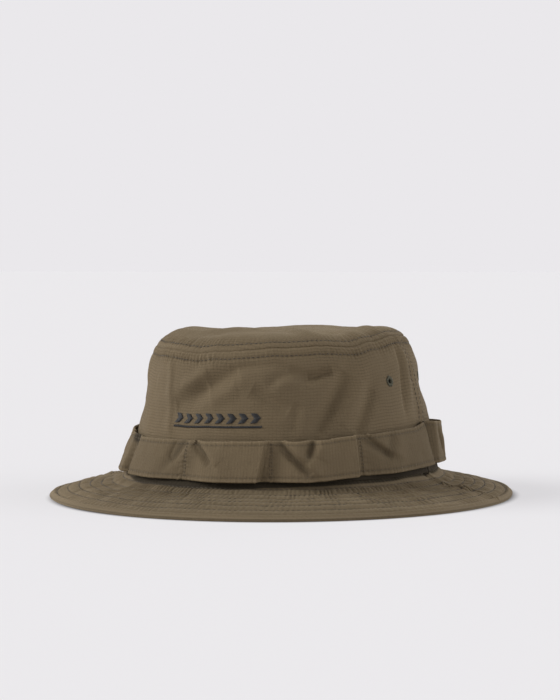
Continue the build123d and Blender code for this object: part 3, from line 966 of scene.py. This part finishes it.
def motif():
    """Raised satin stitching: a row of plain chevrons over a bar."""
    length = MOTIF_HIGH[0] - MOTIF_LOW[0]
    half = (MOTIF_HIGH[2] - MOTIF_LOW[2]) / 2 - MOTIF_BAR
    centre = MOTIF_HIGH[2] - half
    point = length / MOTIF_MARKS - 0.7
    draw = np.random.default_rng(21)
    threads = []
    for mark in range(MOTIF_MARKS):
        left = MOTIF_LOW[0] + mark * length / MOTIF_MARKS
        lead = point - MOTIF_STROKE
        for step in np.arange(-half + 0.2, half - 0.1, 0.36):
            start = left + lead * (1 - abs(step) / half)
            slant = 0.35 if step > 0 else -0.35
            threads.append((start, centre + step, start + MOTIF_STROKE, centre + step - slant))
    bar_middle = MOTIF_LOW[2] + MOTIF_BAR / 2
    for start in np.arange(MOTIF_LOW[0] + 0.2, MOTIF_HIGH[0] - 0.3, 0.38):
        threads.append((start, bar_middle - MOTIF_BAR / 2, start + 0.3, bar_middle + MOTIF_BAR / 2))
    threads = np.array(threads)
    threads[:, 0] += draw.uniform(-0.1, 0.1, len(threads))
    threads[:, 2] += draw.uniform(-0.1, 0.1, len(threads))
    share = np.linspace(0, 1, 6)
    x = threads[:, 0, None] * (1 - share) + threads[:, 2, None] * share
    height = threads[:, 1, None] * (1 - share) + threads[:, 3, None] * share
    bearing = np.degrees(np.arcsin(x / 86.0))
    run = run_at(height)
    points = crown_surface(bearing, run)
    _, normals = surface_line(crown_surface, bearing.ravel(), run.ravel())
    normals = normals.reshape(points.shape)
    arch = MOTIF_RISE * np.sin(np.pi * np.clip(share * 0.9 + 0.05, 0, 1)) ** 0.5
    middle = points + normals * (arch - 0.12)[None, :, None]
    piece = bead_object("front_motif_thread", middle, normals, charcoal_thread, 0.5, 0.8, 0.0)
    settle(piece, "motif_thread", "front_motif")


# ---------------------------------------------------------------- brim

# How far the rim stands off the ground, how far the brim dips inside it, and its extra reach
RIM_LIFT = [
    (-110, -0.6), (-88, -0.4), (-66, 0.5), (-46, 0.8), (-28, 0.4), (-8, 0.0), (60, -0.3), (90, -0.2),
    (115, 0.4), (150, 0.0), (200, 0.0),
]
INNER_DIP = [
    (-110, -2.4), (-65, -3.6), (-30, -2.6), (20, -2.1), (60, -1.9), (85, -2.2), (115, -3.2),
    (160, -2.0),
]
RIM_REACH = [(-65, 1.8), (25, 0.0), (115, -0.5), (205, 0.2)]
# Strength of the gathers along the brim
BRIM_GATHERS = [
    (-110, 0.24), (-80, 0.4), (-58, 0.56), (-35, 0.5), (-12, 0.34), (25, 0.24), (50, 0.42), (70, 0.6),
    (92, 0.66), (112, 0.42), (150, 0.26), (190, 0.24), (220, 0.28),
]
# Painted light on the brim and not lit: how far its sides get a painted highlight for their sheen, and
# the run from the rim at which the painted shade under the band begins
BRIM_PAINTED_SHEEN = [
    (-100, 0.9), (-66, 1.1), (-40, 0.95), (-24, 0.4), (-10, 0.0), (50, 0.0), (70, 0.7), (86, 1.0),
    (112, 1.1), (200, 0.1),
]
UNDER_BAND_SHADE = [
    (-90, 46), (-52, 45), (-30, 42.4), (6, 41.8), (20, 44), (42, 44.8), (60, 45.2), (80, 46.4),
    (120, 47), (200, 44),
]

ARC_TOP = math.pi / 2 - BRIM_LEAN
ARC_UNDER = math.pi / 2 + BRIM_LEAN
SLOPE_RUN = (RIM_RADIUS - RIM_ROLL + RIM_ROLL * math.cos(ARC_TOP) - 90.3) / math.cos(BRIM_LEAN)


def brim_ticks(arc, row_place, seed):
    """Short gathers across each channel of the brim, out of step from one row to the next."""
    cell = np.floor(row_place)
    ticks = gathers(arc + 1.7 * cell, 2 * row_place, seed + 40)
    return ticks + 0.8 * noise(arc / 7 + cell * 3.3, row_place * 0.5, seed + 2)


def brim_relief(slope, bearing, seed, quilt, pucker):
    """How far the brim's cloth stands off its plain slope between and beside the rows."""
    from_rim = slope + RIM_ROLL
    arc = np.radians(bearing) * BRIM_ARC
    row_place = (from_rim - RIM_ROW_INSET) / ROW_PITCH
    sewn = smooth((row_place + 0.12) / 0.12) * smooth((BRIM_ROWS + 0.6 - row_place) / 0.6)
    share = row_place - np.floor(row_place)
    puff = np.sin(np.pi * share) ** 0.7
    relief = quilt * (2 * puff - 1) * sewn * (0.75 + 0.6 * noise(arc / 13, row_place / 1.7, seed + 9))
    lip = smooth(from_rim / 1.5) * smooth((RIM_ROW_INSET - 0.3 - from_rim) / 0.9)
    relief = relief + 0.85 * lip - 0.35 * bell(from_rim - RIM_ROW_INSET, 0.8)
    swell = round_the_hat(bearing, BRIM_GATHERS) * smooth(from_rim / 7)
    swell = swell * (1 - 0.85 * smooth((from_rim - 41) / 4))
    inward = smooth((from_rim - 4) / 30)
    ticks = brim_ticks(arc, row_place, seed) * (0.6 + 0.5 * inward)
    relief = relief + pucker * ticks * swell * (0.3 + 0.7 * puff)
    relief = relief + 0.55 * layered_noise(arc / 24, from_rim / 17, seed + 5) * smooth(from_rim / 6)
    for seam in (90, 270):
        off = angle_gap(bearing, seam) * math.radians(1) * BRIM_ARC
        lumps = noise(from_rim / 2.3, off / 4, 87) + 0.7 * noise(from_rim / 4.6, off / 6, 88)
        relief = relief + 0.95 * lumps * bell(np.abs(off) - 2.0, 4.6) * smooth((from_rim - 6) / 12)
        relief = relief + 0.7 * bell(np.abs(off) - 1.7, 1.2) - 0.7 * bell(off, 0.6)
    return relief


def brim_surface(bearing, run, seed=71, top=True):
    """Points of the brim's top or underside at a run inward from the rim."""
    arc_end = ARC_TOP if top else ARC_UNDER
    turn = np.clip(run / RIM_ROLL, 0.06, arc_end)
    slope = np.clip(run - RIM_ROLL * arc_end, 0, None)
    sign = 1 if top else -1
    radius = RIM_RADIUS - RIM_ROLL + RIM_ROLL * np.cos(turn) - slope * math.cos(BRIM_LEAN)
    height = RIM_ROLL + sign * RIM_ROLL * np.sin(turn) + slope * math.sin(BRIM_LEAN)
    relief = brim_relief(slope, bearing, seed, 0.3 if top else 0.18, 1.0 if top else 0.6)
    relief = relief * smooth(slope / 1.5)
    inward = slope / SLOPE_RUN
    sway = round_the_hat(bearing, RIM_LIFT) * (1 - smooth(inward / 0.85))
    dip = bell(inward - 0.74, 0.26) * smooth((1 - inward) / 0.14)
    sway = sway + round_the_hat(bearing, INNER_DIP) * dip
    sway = sway + 0.35 * layered_noise(np.radians(bearing) * 2.4, inward, 77, 2) * smooth(slope / 25)
    radius = radius + relief * np.cos(turn) + round_the_hat(bearing, RIM_REACH) * (1 - smooth(inward))
    height = height + relief * sign * np.sin(turn) + sway
    return place(bearing, radius, np.maximum(height, 0.02))


def brim_cloth_piece(side, first_seam, top):
    """Half of the brim's upper or under cloth."""
    rows, columns = 64, 690
    arc_run = RIM_ROLL * (ARC_TOP if top else ARC_UNDER)
    arc_part = np.linspace(0.1, arc_run, 6)[:-1]
    slope_part = np.linspace(arc_run, arc_run + SLOPE_RUN - 0.3, rows - 5)
    run = np.concatenate([arc_part, slope_part])[:, None]
    bearing = np.linspace(first_seam + 0.2, first_seam + 179.8, columns)[None, :]
    if not top:
        bearing = bearing[:, ::-1]
    points = brim_surface(bearing + 0 * run, run + 0 * bearing, 71 if top else 83, top)
    from_end = np.minimum(bearing - first_seam, first_seam + 180 - bearing) * 2.0 + 0 * run
    row_place = (run - arc_run + RIM_ROLL - RIM_ROW_INSET) / ROW_PITCH
    share = np.abs(row_place - np.round(row_place)) * ROW_PITCH
    in_rows = (row_place > -0.3) * (row_place < BRIM_ROWS + 0.3)
    edges = np.maximum(bell(run - 1.4, 1.2) + 0 * bearing, bell(from_end - 1, 0.9))
    broken = 0.55 + 0.5 * noise(bearing * 0.5, row_place, 89)
    ticks = brim_ticks(np.radians(bearing) * BRIM_ARC, row_place, 71 if top else 83)
    strength = 2.4 * round_the_hat(bearing, BRIM_GATHERS) * smooth((run - 8) / 10)
    strength = strength * (1 - smooth((run - 40) / 4))
    # Painted shade in the troughs of the gathers
    trough_shade = strength * np.clip(-ticks - 0.25, 0, 1)
    # Lighter from wear at the rim and seams, with a painted highlight on the brim's sides; painted
    # shade in the stitch rows, the gather troughs, under the band and along the rim's lower edge
    values = {
        "wear_and_painted_light": np.maximum(0.8 * edges, round_the_hat(bearing, BRIM_PAINTED_SHEEN)),
        "painted_shade": broken * bell(share, 0.5) * in_rows
        + trough_shade
        + 2.4 * smooth((run - round_the_hat(bearing, UNDER_BAND_SHADE) - 0.3) / 1.8)
        + (0.8 if top else 0.0) * bell(run, 0.7),
    }
    word = "top" if top else "under"
    name = f"brim_{word}_{side}_cloth"
    piece = cloth_piece(name, points, points[..., :2], brim_cloth, thickness=0.85, values=values)
    return settle(piece, "shell_cloth", f"brim_{word}_{side}")


def brim_stiffener():
    """The interlining under the brim's top cloth, which it follows at one depth.

    The under cloth has relief of its own, and the interlining breaks through it in places.
    """
    arc_run = RIM_ROLL * ARC_TOP
    run = np.linspace(arc_run + 2.5, arc_run + SLOPE_RUN - 0.8, 48)[:, None]
    bearing = np.linspace(-180, 180, 900, endpoint=False)[None, :]
    top = brim_surface(bearing + 0 * run, run + 0 * bearing)
    points = top - np.array([0, 0, INTERLINING_DEPTH])
    plan = np.concatenate([points, points[:, :1]], axis=1)[..., :2]
    piece = cloth_piece(
        "brim_interlining_felt", points, plan, interlining_cloth, thickness=INTERLINING, wrap=True
    )
    return settle(piece, "interlining", "brim_interlining")


def brim_stitching():
    """Rows of stitches round the brim on both faces, and the row near the rim."""
    bearing = np.linspace(-180, 180, 2600)
    rows, rim = [], []
    for top, seed in ((True, 71), (False, 83)):
        arc_run = RIM_ROLL * (ARC_TOP if top else ARC_UNDER)

        def surface(first, second):
            return brim_surface(first, second, seed, top)

        for row in range(BRIM_ROWS + 1):
            run = arc_run - RIM_ROLL + RIM_ROW_INSET + ROW_PITCH * row
            points, normals = surface_line(surface, bearing, np.full(len(bearing), run))
            (rim if row == 0 else rows).append((points, normals if top else -normals))
    piece = stitch_rows("brim_row_stitches", rows, olive_thread, pitch=2.9, length=2.1, seed=7)
    settle(piece, "matching_thread", "brim_stitching")
    piece = stitch_rows("rim_row_stitches", rim, olive_thread, seed=9)
    settle(piece, "matching_thread", "rim_stitching")


# ---------------------------------------------------------------- band

# The loops of the band: where each starts and ends, the shares of it over which it rises and
# falls, and how far its lower and upper edges stand off the crown
LOOPS = [
    (-43.5, -12, 0.07, 0.5, 3.8, 1.6), (-12, 20.5, 0.5, 0.035, 5.2, 3.4),
    (20.5, 53.5, 0.34, 0.045, 5.2, 3.2), (53.5, 92, 0.4, 0.02, 4.2, 1.7),
    (92, 126, 0.10, 0.30, 3.4, 5.2), (126, 162, 0.26, 0.08, 6.6, 4.2), (162, 198, 0.22, 0.22, 6.4, 3.8),
    (198, 234, 0.08, 0.30, 6.8, 4.4), (234, 270, 0.30, 0.06, 6.2, 3.8),
    (270, 316.5, 0.22, 0.07, 4.7, 0.8),
]
# How far the folds at the ends of the loops slant, in degrees over the height of the band
FOLD_SLANT = [
    (-52, 3.6), (-38, 3.6), (-24, 0.6), (-12, 0.8), (8, 2.2), (23, 2.2), (36, 0.4), (56, 0.4),
    (92, 0.0), (180, 1.6), (250, 0.0),
]
JOINS = (92, 270)  # where the front and back bands meet
BAND_FLAT = 0.04  # share of a loop that lies against the crown at each tack
BAND_REST = 0.4  # how far its outer face stands off the crown there, beyond its thickness
BAND_LOW = [
    (-46, 16.9), (-4, 17.1), (31, 17.5), (53, 19.6), (91, 21.8), (126, 20.5), (180, 18.4), (250, 18.4),
]
BAND_HIGH = [
    (-54, 40.0), (-41, 38.6), (-10, 39.0), (21, 39.8), (31, 39.7), (53, 42.2), (80, 44.0), (92, 46.4),
    (110, 44.6), (150, 43.5), (200, 42.5), (250, 42.0), (290, 41.6),
]

# Sharp creases of the loops: start, end, width and depth
BAND_CREASES = [
    ((-12.5, 41), (-19, 27), 2.8, 2.4), ((-8.5, 38.5), (-0.5, 26.5), 1.9, 2.6),
    ((23, 39.5), (34, 21), 1.9, 3.0), ((36, 41), (33, 30), 2.4, 2.9), ((54.5, 41), (66, 29), 1.9, 2.1),
    ((68, 41), (64, 29), 3.0, 1.1), ((101, 42), (106, 28), 1.8, 1.4), ((128, 42), (137, 27), 1.8, 2.0),
    ((158, 41), (150, 28), 2.0, 1.5), ((165, 41), (173, 26), 1.8, 2.0),
    ((194, 40), (187, 28), 2.2, 1.4), ((201, 41), (210, 26), 1.8, 2.0),
    ((230, 40), (223, 26), 2.0, 1.6), ((238, 40), (247, 26), 1.8, 2.0),
    ((275, 40), (283, 26), 1.8, 1.9), ((303, 40), (296, 27), 2.0, 1.4),
]


def band_edges(bearing):
    """Lower and upper height of the band round the hat."""
    return round_the_hat(bearing, BAND_LOW), round_the_hat(bearing, BAND_HIGH)


def band_standoff(bearing, up=0.5):
    """How far the lower and upper edges stand off the crown, and the share of the loop.

    The folds at the ends of the loops slant, so the share depends on the height up the band.
    """
    turned = (np.asarray(bearing, float) - LOOPS[0][0]) % 360 + LOOPS[0][0]
    turned = turned + round_the_hat(bearing, FOLD_SLANT) * (0.9 - up)
    low, high, loop = 0 * turned, 0 * turned, 0 * turned
    for start, end, rise, fall, out_low, out_high in LOOPS:
        share = (turned - start) / (end - start)
        inside = (share >= 0) & (share < 1)
        climb = smooth((share - BAND_FLAT) / rise) ** 0.8
        drop = smooth((1 - BAND_FLAT - share) / fall) ** 0.8
        sag = 1 - 0.18 * np.sin(np.pi * share) * (1 if rise > fall else -1) * (share - 0.5)
        low = np.where(inside, out_low * climb * drop * sag, low)
        high = np.where(inside, out_high * climb * drop * sag, high)
        loop = np.where(inside, share, loop)
    return low, high, loop


def band_surface(bearing, up):
    """Points of the band's outer face, up from 0 at its lower edge to 1 at its upper edge."""
    low, high = band_edges(bearing)
    out_low, out_high, share = band_standoff(bearing, up)
    arc = np.radians(bearing) * 95.0
    height = low + (high - low) * up
    wall = JOINT_RADIUS - (height - JOINT_HEIGHT) * math.tan(WALL_LEAN)
    out = out_low + (out_high - out_low) * up
    radius = wall + FOLDED_CLOTH + BAND_REST + out
    free = smooth(out / 2.0)
    relief = 0.4 * layered_noise(arc / 15, height / 13, 95) * (0.3 + 0.7 * free)
    relief = relief + 0.14 * layered_noise(arc / 4.5, height / 6, 96)
    for start, end, width, depth in BAND_CREASES:
        line = crease(bearing, height, start, end, 1.5 * width, 95.0, 1.0 * width)
        after = 1.6 * width
        flank = crease(
            bearing, height, (start[0] + after, start[1]), (end[0] + after, end[1]), 2.2 * width, 95.0
        )
        relief = relief - 1.35 * depth * line + 0.5 * depth * flank
    from_low, from_high = height - low, high - height
    relief = relief - 0.2 * bell(from_low - 2.2, 0.5) - 0.2 * bell(from_high - 2.2, 0.5)
    edges = bell(from_low, 3.5) + bell(from_high, 3.5)
    relief = relief + 0.1 * gathers(arc, up * 8, 97) * edges
    tack = np.minimum(share, 1 - share) * 36 * math.radians(1) * 95
    relief = relief - 0.3 * bell(tack - 0.2, 0.8)
    ripple = 0.14 * gathers(up * 22, tack, 99) * bell(tack - 2.2, 3.0)
    return place(bearing, radius + np.maximum(relief + ripple, -out - 0.5), height)


def band(side, first, last):
    """One folded strip, tacked down to make five loops."""
    rows, columns = 42, 960
    fine = np.linspace(first + 0.3, last - 0.3, 6000)
    outs = band_standoff(fine)[0]
    stretch = np.hypot(np.gradient(np.radians(fine) * 96.0), np.gradient(outs)).cumsum()
    bearing = np.interp(np.linspace(stretch[0], stretch[-1], columns), stretch, fine)[None, :]
    up = np.linspace(0.02, 0.98, rows)[:, None]
    points = band_surface(bearing + 0 * up, up + 0 * bearing)
    low, high = band_edges(bearing)
    along = np.linspace(stretch[0], stretch[-1], columns)[None, :]
    uv = np.stack(np.broadcast_arrays(along, up * 23.0), axis=-1)
    from_edge = np.minimum(up, 1 - up) * (high - low)
    from_end = np.minimum(bearing - first, last - bearing) * 1.6 + 0 * up
    tacked = band_standoff(bearing)[1] + 0 * up
    height = low + (high - low) * up
    # Painted shade along the creases of the loops
    crease_shade = 0 * height
    for start, end, width, depth in BAND_CREASES:
        crease_shade = crease_shade + 0.24 * depth * crease(bearing, height, start, end, width, 95.0, 0.6 * width)
    # Lighter from wear at the folded edges and ends, with a painted highlight round the front and on
    # the strip by the tack at 19.8; painted shade along the creases, stitch rows and tacks, broadly at
    # bearings -32 and 82, in the slit at the join and on the rear loop beside the left fold
    values = {
        "wear_and_painted_light": np.maximum(0.9 * bell(from_edge, 0.8), 0.5 * bell(from_end, 0.9))
        + 0.34 * bell(angle_gap(bearing, 26), 24)
        + 0.7 * bell(angle_gap(bearing, 19.8), 1.3),
        "painted_shade": crease_shade
        + 0.4 * bell(from_edge - 2.2, 0.5)
        + 0.2 * bell(tacked, 1.0)
        + 0.22 * bell(angle_gap(bearing, -32), 12)
        + 0.4 * bell(angle_gap(bearing, 82), 17)
        + 2.0 * bell(angle_gap(bearing, 92.7), 0.6)
        + 0.8 * bell(angle_gap(bearing, -44.8), 1.5) * (0.4 + 0.6 * up)
        + 1.6 * bell(angle_gap(bearing, -46.6), 3.0) * smooth((up - 0.72) / 0.2),
    }
    name = f"band_{side}_cloth"
    piece = cloth_piece(name, points, uv, band_cloth, thickness=FOLDED_CLOTH, values=values)
    settle(piece, "shell_cloth", f"band_{side}")


def band_stitching():
    """Edge stitching along both bands, and a dense bar of stitches at each tack."""
    lines, bars = [], []
    for first, last in ((JOINS[1] - 360, JOINS[0]), JOINS):
        bearing = np.linspace(first + 1.0, last - 1.0, 1400)
        low, high = band_edges(bearing)
        for inset in (2.2 / (high - low), 1 - 2.2 / (high - low)):
            lines.append(surface_line(band_surface, bearing, inset))
    up = np.linspace(0.06, 0.95, 60)
    for loop in LOOPS:
        if loop[0] in JOINS:
            continue
        for offset in (-0.35, 0.35):
            bars.append(surface_line(band_surface, np.full(60, loop[0] + offset), up))
    piece = stitch_rows("band_edge_stitches", lines, band_thread, width=0.42, lift=0.02, seed=11)
    settle(piece, "matching_thread")
    piece = stitch_rows(
        "band_tack_stitches", bars, band_thread, pitch=2.0, length=1.5, width=0.5, seed=13
    )
    settle(piece, "matching_thread", "band_tacks")


# ---------------------------------------------------------------- inside


def wall_radius(bearing, height, depth):
    """Radius of the crown's side at a height, less a depth inside it and behind its hollows."""
    run = run_at(height)
    run = run_at(height - seam_lift(bearing) * smooth(run / SIDE_RUN))
    radius, _, _ = side_section(run)
    return radius - depth + np.minimum(crown_relief(bearing, run), 0)


def lining_ring(name, top, foot, depth, material, thickness, node, slot, seed):
    """A ring of cloth against the inside of the crown, from its top edge down to its foot."""
    rows, columns = 30, 460
    height = np.linspace(top, foot, rows)[:, None]
    bearing = np.linspace(-180, 180, columns, endpoint=False)[None, :]
    x, y = np.sin(np.radians(bearing)), np.cos(np.radians(bearing))
    relief = 0.5 * layered_noise(6 * x + height / 18, 6 * y, seed)
    relief = relief + 0.2 * noise(38 * x, 38 * y + height / 30, seed + 3)
    edge = np.minimum(top - height, height - foot)
    relief = relief - 0.25 * bell(edge - 2.4, 0.6) + 0.25 * smooth((2.0 - edge) / 0.8)
    points = place(bearing, wall_radius(bearing, height, depth) - np.maximum(relief, -0.4), height)
    arc = np.radians(np.linspace(-180, 180, columns + 1))[None, :] * 85.0
    uv = np.stack(np.broadcast_arrays(arc, height), axis=-1)
    piece = cloth_piece(name, points, uv, material, thickness=thickness, wrap=True)
    return settle(piece, slot, node)


def lining_strip(name, bearings, heights, depth, material, thickness, node, slot):
    """A strip of cloth on the inside of the crown, between two bearings and two heights."""
    rows, columns = 60, 24
    height = np.linspace(max(heights), min(heights), rows)[:, None]
    bearing = np.linspace(*bearings, columns)[None, :]
    arc = np.radians(bearing) * 85.0
    relief = 0.2 * layered_noise(arc / 7, height / 9, 111) + 0 * height
    points = place(bearing, wall_radius(bearing, height, depth) - relief, height + 0 * bearing)
    uv = np.stack(np.broadcast_arrays(arc, height), axis=-1)
    piece = cloth_piece(name, points, uv, material, thickness=thickness)
    return settle(piece, slot, node)


def inside_trim():
    """Sweatband, seam tapes and the blank size label."""
    foot, top = SWEAT_LOW[2] + 0.6, SWEAT_HIGH[2] - 0.6
    lining_ring(
        "sweatband_cloth", top, foot, 2.9, sweatband_cloth, 1.2, "sweatband", "sweatband_cloth", 101
    )
    for name, low_node in (("left", "side_seam_tape_left"), ("right", "side_seam_tape_right")):
        low, high = cad_box(low_node)
        middle = 90 if name == "left" else 270
        half = math.degrees((high[1] - low[1]) / 2 / 85.0)
        lining_strip(
            f"side_seam_tape_{name}_cloth", (middle - half, middle + half), (low[2], high[2]),
            CLOTH + 1.4, tape_cloth, 0.6, low_node, "seam_tape",
        )
    low, high = cad_box("size_label")
    half = math.degrees((high[0] - low[0]) / 2 / 82.0)
    lining_strip(
        "size_label_cloth", (180 - half, 180 + half), (low[2], high[2]), CLOTH + 4.6,
        label_cloth, 0.5, "size_label", "label_cloth",
    )
    tape_low, tape_high = cad_box("tip_seam_tape")
    lining_ring(
        "tip_seam_tape_cloth", tape_high[2] - 5.0, tape_low[2] - 5.0, CLOTH + 3.0, tape_cloth, 0.6,
        "tip_seam_tape", "seam_tape", 121,
    )


crown_panel("front", -90, 90)
crown_panel("back", 90, 270)
tip()
seam_allowance()
crown_stitching()
eyelets()
motif()
for half, seam_bearing in (("front", -90), ("back", 90)):
    for is_top in (True, False):
        brim_cloth_piece(half, seam_bearing, is_top)
brim_stiffener()
brim_stitching()
band("front", JOINS[1] - 360, JOINS[0])
band("back", *JOINS)
band_stitching()
inside_trim()


# ---------------------------------------------------------------- studio

CAMERA_DISTANCE = 1302.6
CAMERA_BEARING = 23.64
CAMERA_PITCH = 2.21
AIM_HEIGHT = 87.4
AIM_SIDE = -2.7  # the hat stands a little right of the middle
SCALE_AT_HAT = 0.606  # millimetres to a pixel
PICTURE_HEIGHT = 700


def look(obj, spot, target):
    """Puts an object at a spot, facing a target, both in metres."""
    obj.location = spot
    obj.rotation_euler = (Vector(target) - Vector(spot)).to_track_quat("-Z", "Y").to_euler()


def camera():
    """The camera at the photograph's viewing angle."""
    data = bpy.data.cameras.new("camera")
    data.sensor_width = 36.0
    data.lens = CAMERA_DISTANCE * data.sensor_width / (SCALE_AT_HAT * PICTURE_HEIGHT)
    obj = bpy.data.objects.new("camera", data)
    bpy.context.scene.collection.objects.link(obj)
    turn, pitch = math.radians(CAMERA_BEARING), math.radians(CAMERA_PITCH)
    right = np.array([math.cos(turn), math.sin(turn), 0.0])
    back = np.array([math.sin(turn), -math.cos(turn), 0.0])
    target = right * AIM_SIDE + np.array([0, 0, AIM_HEIGHT])
    spot = target + CAMERA_DISTANCE * (back * math.cos(pitch) + np.array([0, 0, math.sin(pitch)]))
    look(obj, tuple(spot * METRES), tuple(target * METRES))
    bpy.context.scene.camera = obj


FLOOR_PAINTED_GLOW = 0.6  # how much of the floor's brightness is its own glow: painted light, no lamp, which washes out the hat's cast shadow
OVERHEAD = 0.25  # brightness of the surround overhead, against 1 at the horizon
OVERHEAD_SHARE = 0.43  # what that leaves of the light that falls on the floor


def soft_sun(name, bearing, elevation, power, spread):
    """A broad, distant light from a bearing relative to the camera."""
    data = bpy.data.lights.new(name, "SUN")
    data.energy = power
    data.angle = math.radians(spread)
    obj = bpy.data.objects.new(name, data)
    bpy.context.scene.collection.objects.link(obj)
    turn, up = math.radians(CAMERA_BEARING + bearing), math.radians(elevation)
    way = (math.cos(up) * math.sin(turn), -math.cos(up) * math.cos(turn), math.sin(up))
    look(obj, way, (0, 0, 0))


def studio():
    """A pale floor out to the horizon under an even surround, with soft lights."""
    lights = [("key", -84, 30, 2.3, 36), ("fill", 86, 26, 0.95, 50), ("top", 165, 55, 0.5, 60)]
    surround = srgb(234, 232, 235)
    level = sum(power * math.sin(math.radians(up)) for _, _, up, power, _ in lights) / math.pi
    level += surround[1] * (OVERHEAD_SHARE - 1)
    world = bpy.data.worlds.new("surround")
    bpy.context.scene.world = world
    world.use_nodes = True
    tree = world.node_tree
    tree.nodes["Background"].inputs[0].default_value = surround
    facing = add_node(tree, "ShaderNodeTexCoord")
    split = add_node(tree, "ShaderNodeSeparateXYZ")
    tree.links.new(facing.outputs["Generated"], split.inputs[0])
    dimming = add_node(tree, "ShaderNodeMapRange", interpolation_type="SMOOTHSTEP")
    dimming.inputs["From Min"].default_value = 0.2
    dimming.inputs["From Max"].default_value = 0.7
    dimming.inputs["To Min"].default_value = 1.0
    dimming.inputs["To Max"].default_value = OVERHEAD
    tree.links.new(split.outputs[2], dimming.inputs["Value"])
    tree.links.new(dimming.outputs[0], tree.nodes["Background"].inputs[1])
    material, tree, shader = node_tree("studio_floor")
    share = 1.025 / (1.0 + level / surround[1])
    share *= 1 - FLOOR_PAINTED_GLOW
    shader.inputs["Base Color"].default_value = (share * 1.005, share, share * 1.005, 1.0)
    shader.inputs["Emission Color"].default_value = surround
    spot = add_node(tree, "ShaderNodeTexCoord")
    split = add_node(tree, "ShaderNodeSeparateXYZ")
    tree.links.new(spot.outputs["Object"], split.inputs[0])
    flat_y = math_node(tree, "DIVIDE", split.outputs[1], STRETCH)
    flat_y = math_node(tree, "MULTIPLY", flat_y, flat_y)
    squares = math_node(tree, "MULTIPLY_ADD", split.outputs[0], split.outputs[0], flat_y)
    away = math_node(tree, "SQRT", squares)
    # The glow fades out towards the rim and is gone under the hat: a painted contact shadow at the
    # rim's foot
    painted_glow = add_node(tree, "ShaderNodeMapRange", interpolation_type="SMOOTHSTEP")
    painted_glow.inputs["From Min"].default_value = (RIM_RADIUS - 3.0) * METRES
    painted_glow.inputs["From Max"].default_value = (RIM_RADIUS + 5.0) * METRES
    painted_glow.inputs["To Max"].default_value = 1.02 * FLOOR_PAINTED_GLOW
    tree.links.new(away, painted_glow.inputs["Value"])
    tree.links.new(painted_glow.outputs[0], shader.inputs["Emission Strength"])
    shader.inputs["Roughness"].default_value = 1.0
    shader.inputs["Specular IOR Level"].default_value = 0.0
    reach = 60000.0
    corners = np.array([[-reach, -reach, 0], [reach, -reach, 0], [reach, reach, 0], [-reach, reach, 0]])
    make_object("floor", corners, [[0, 1, 2, 3]], material)
    for name, bearing, up, power, spread in lights:
        soft_sun(name, bearing, up, power, spread)
    bpy.context.scene.view_settings.view_transform = "Standard"


camera()
studio()
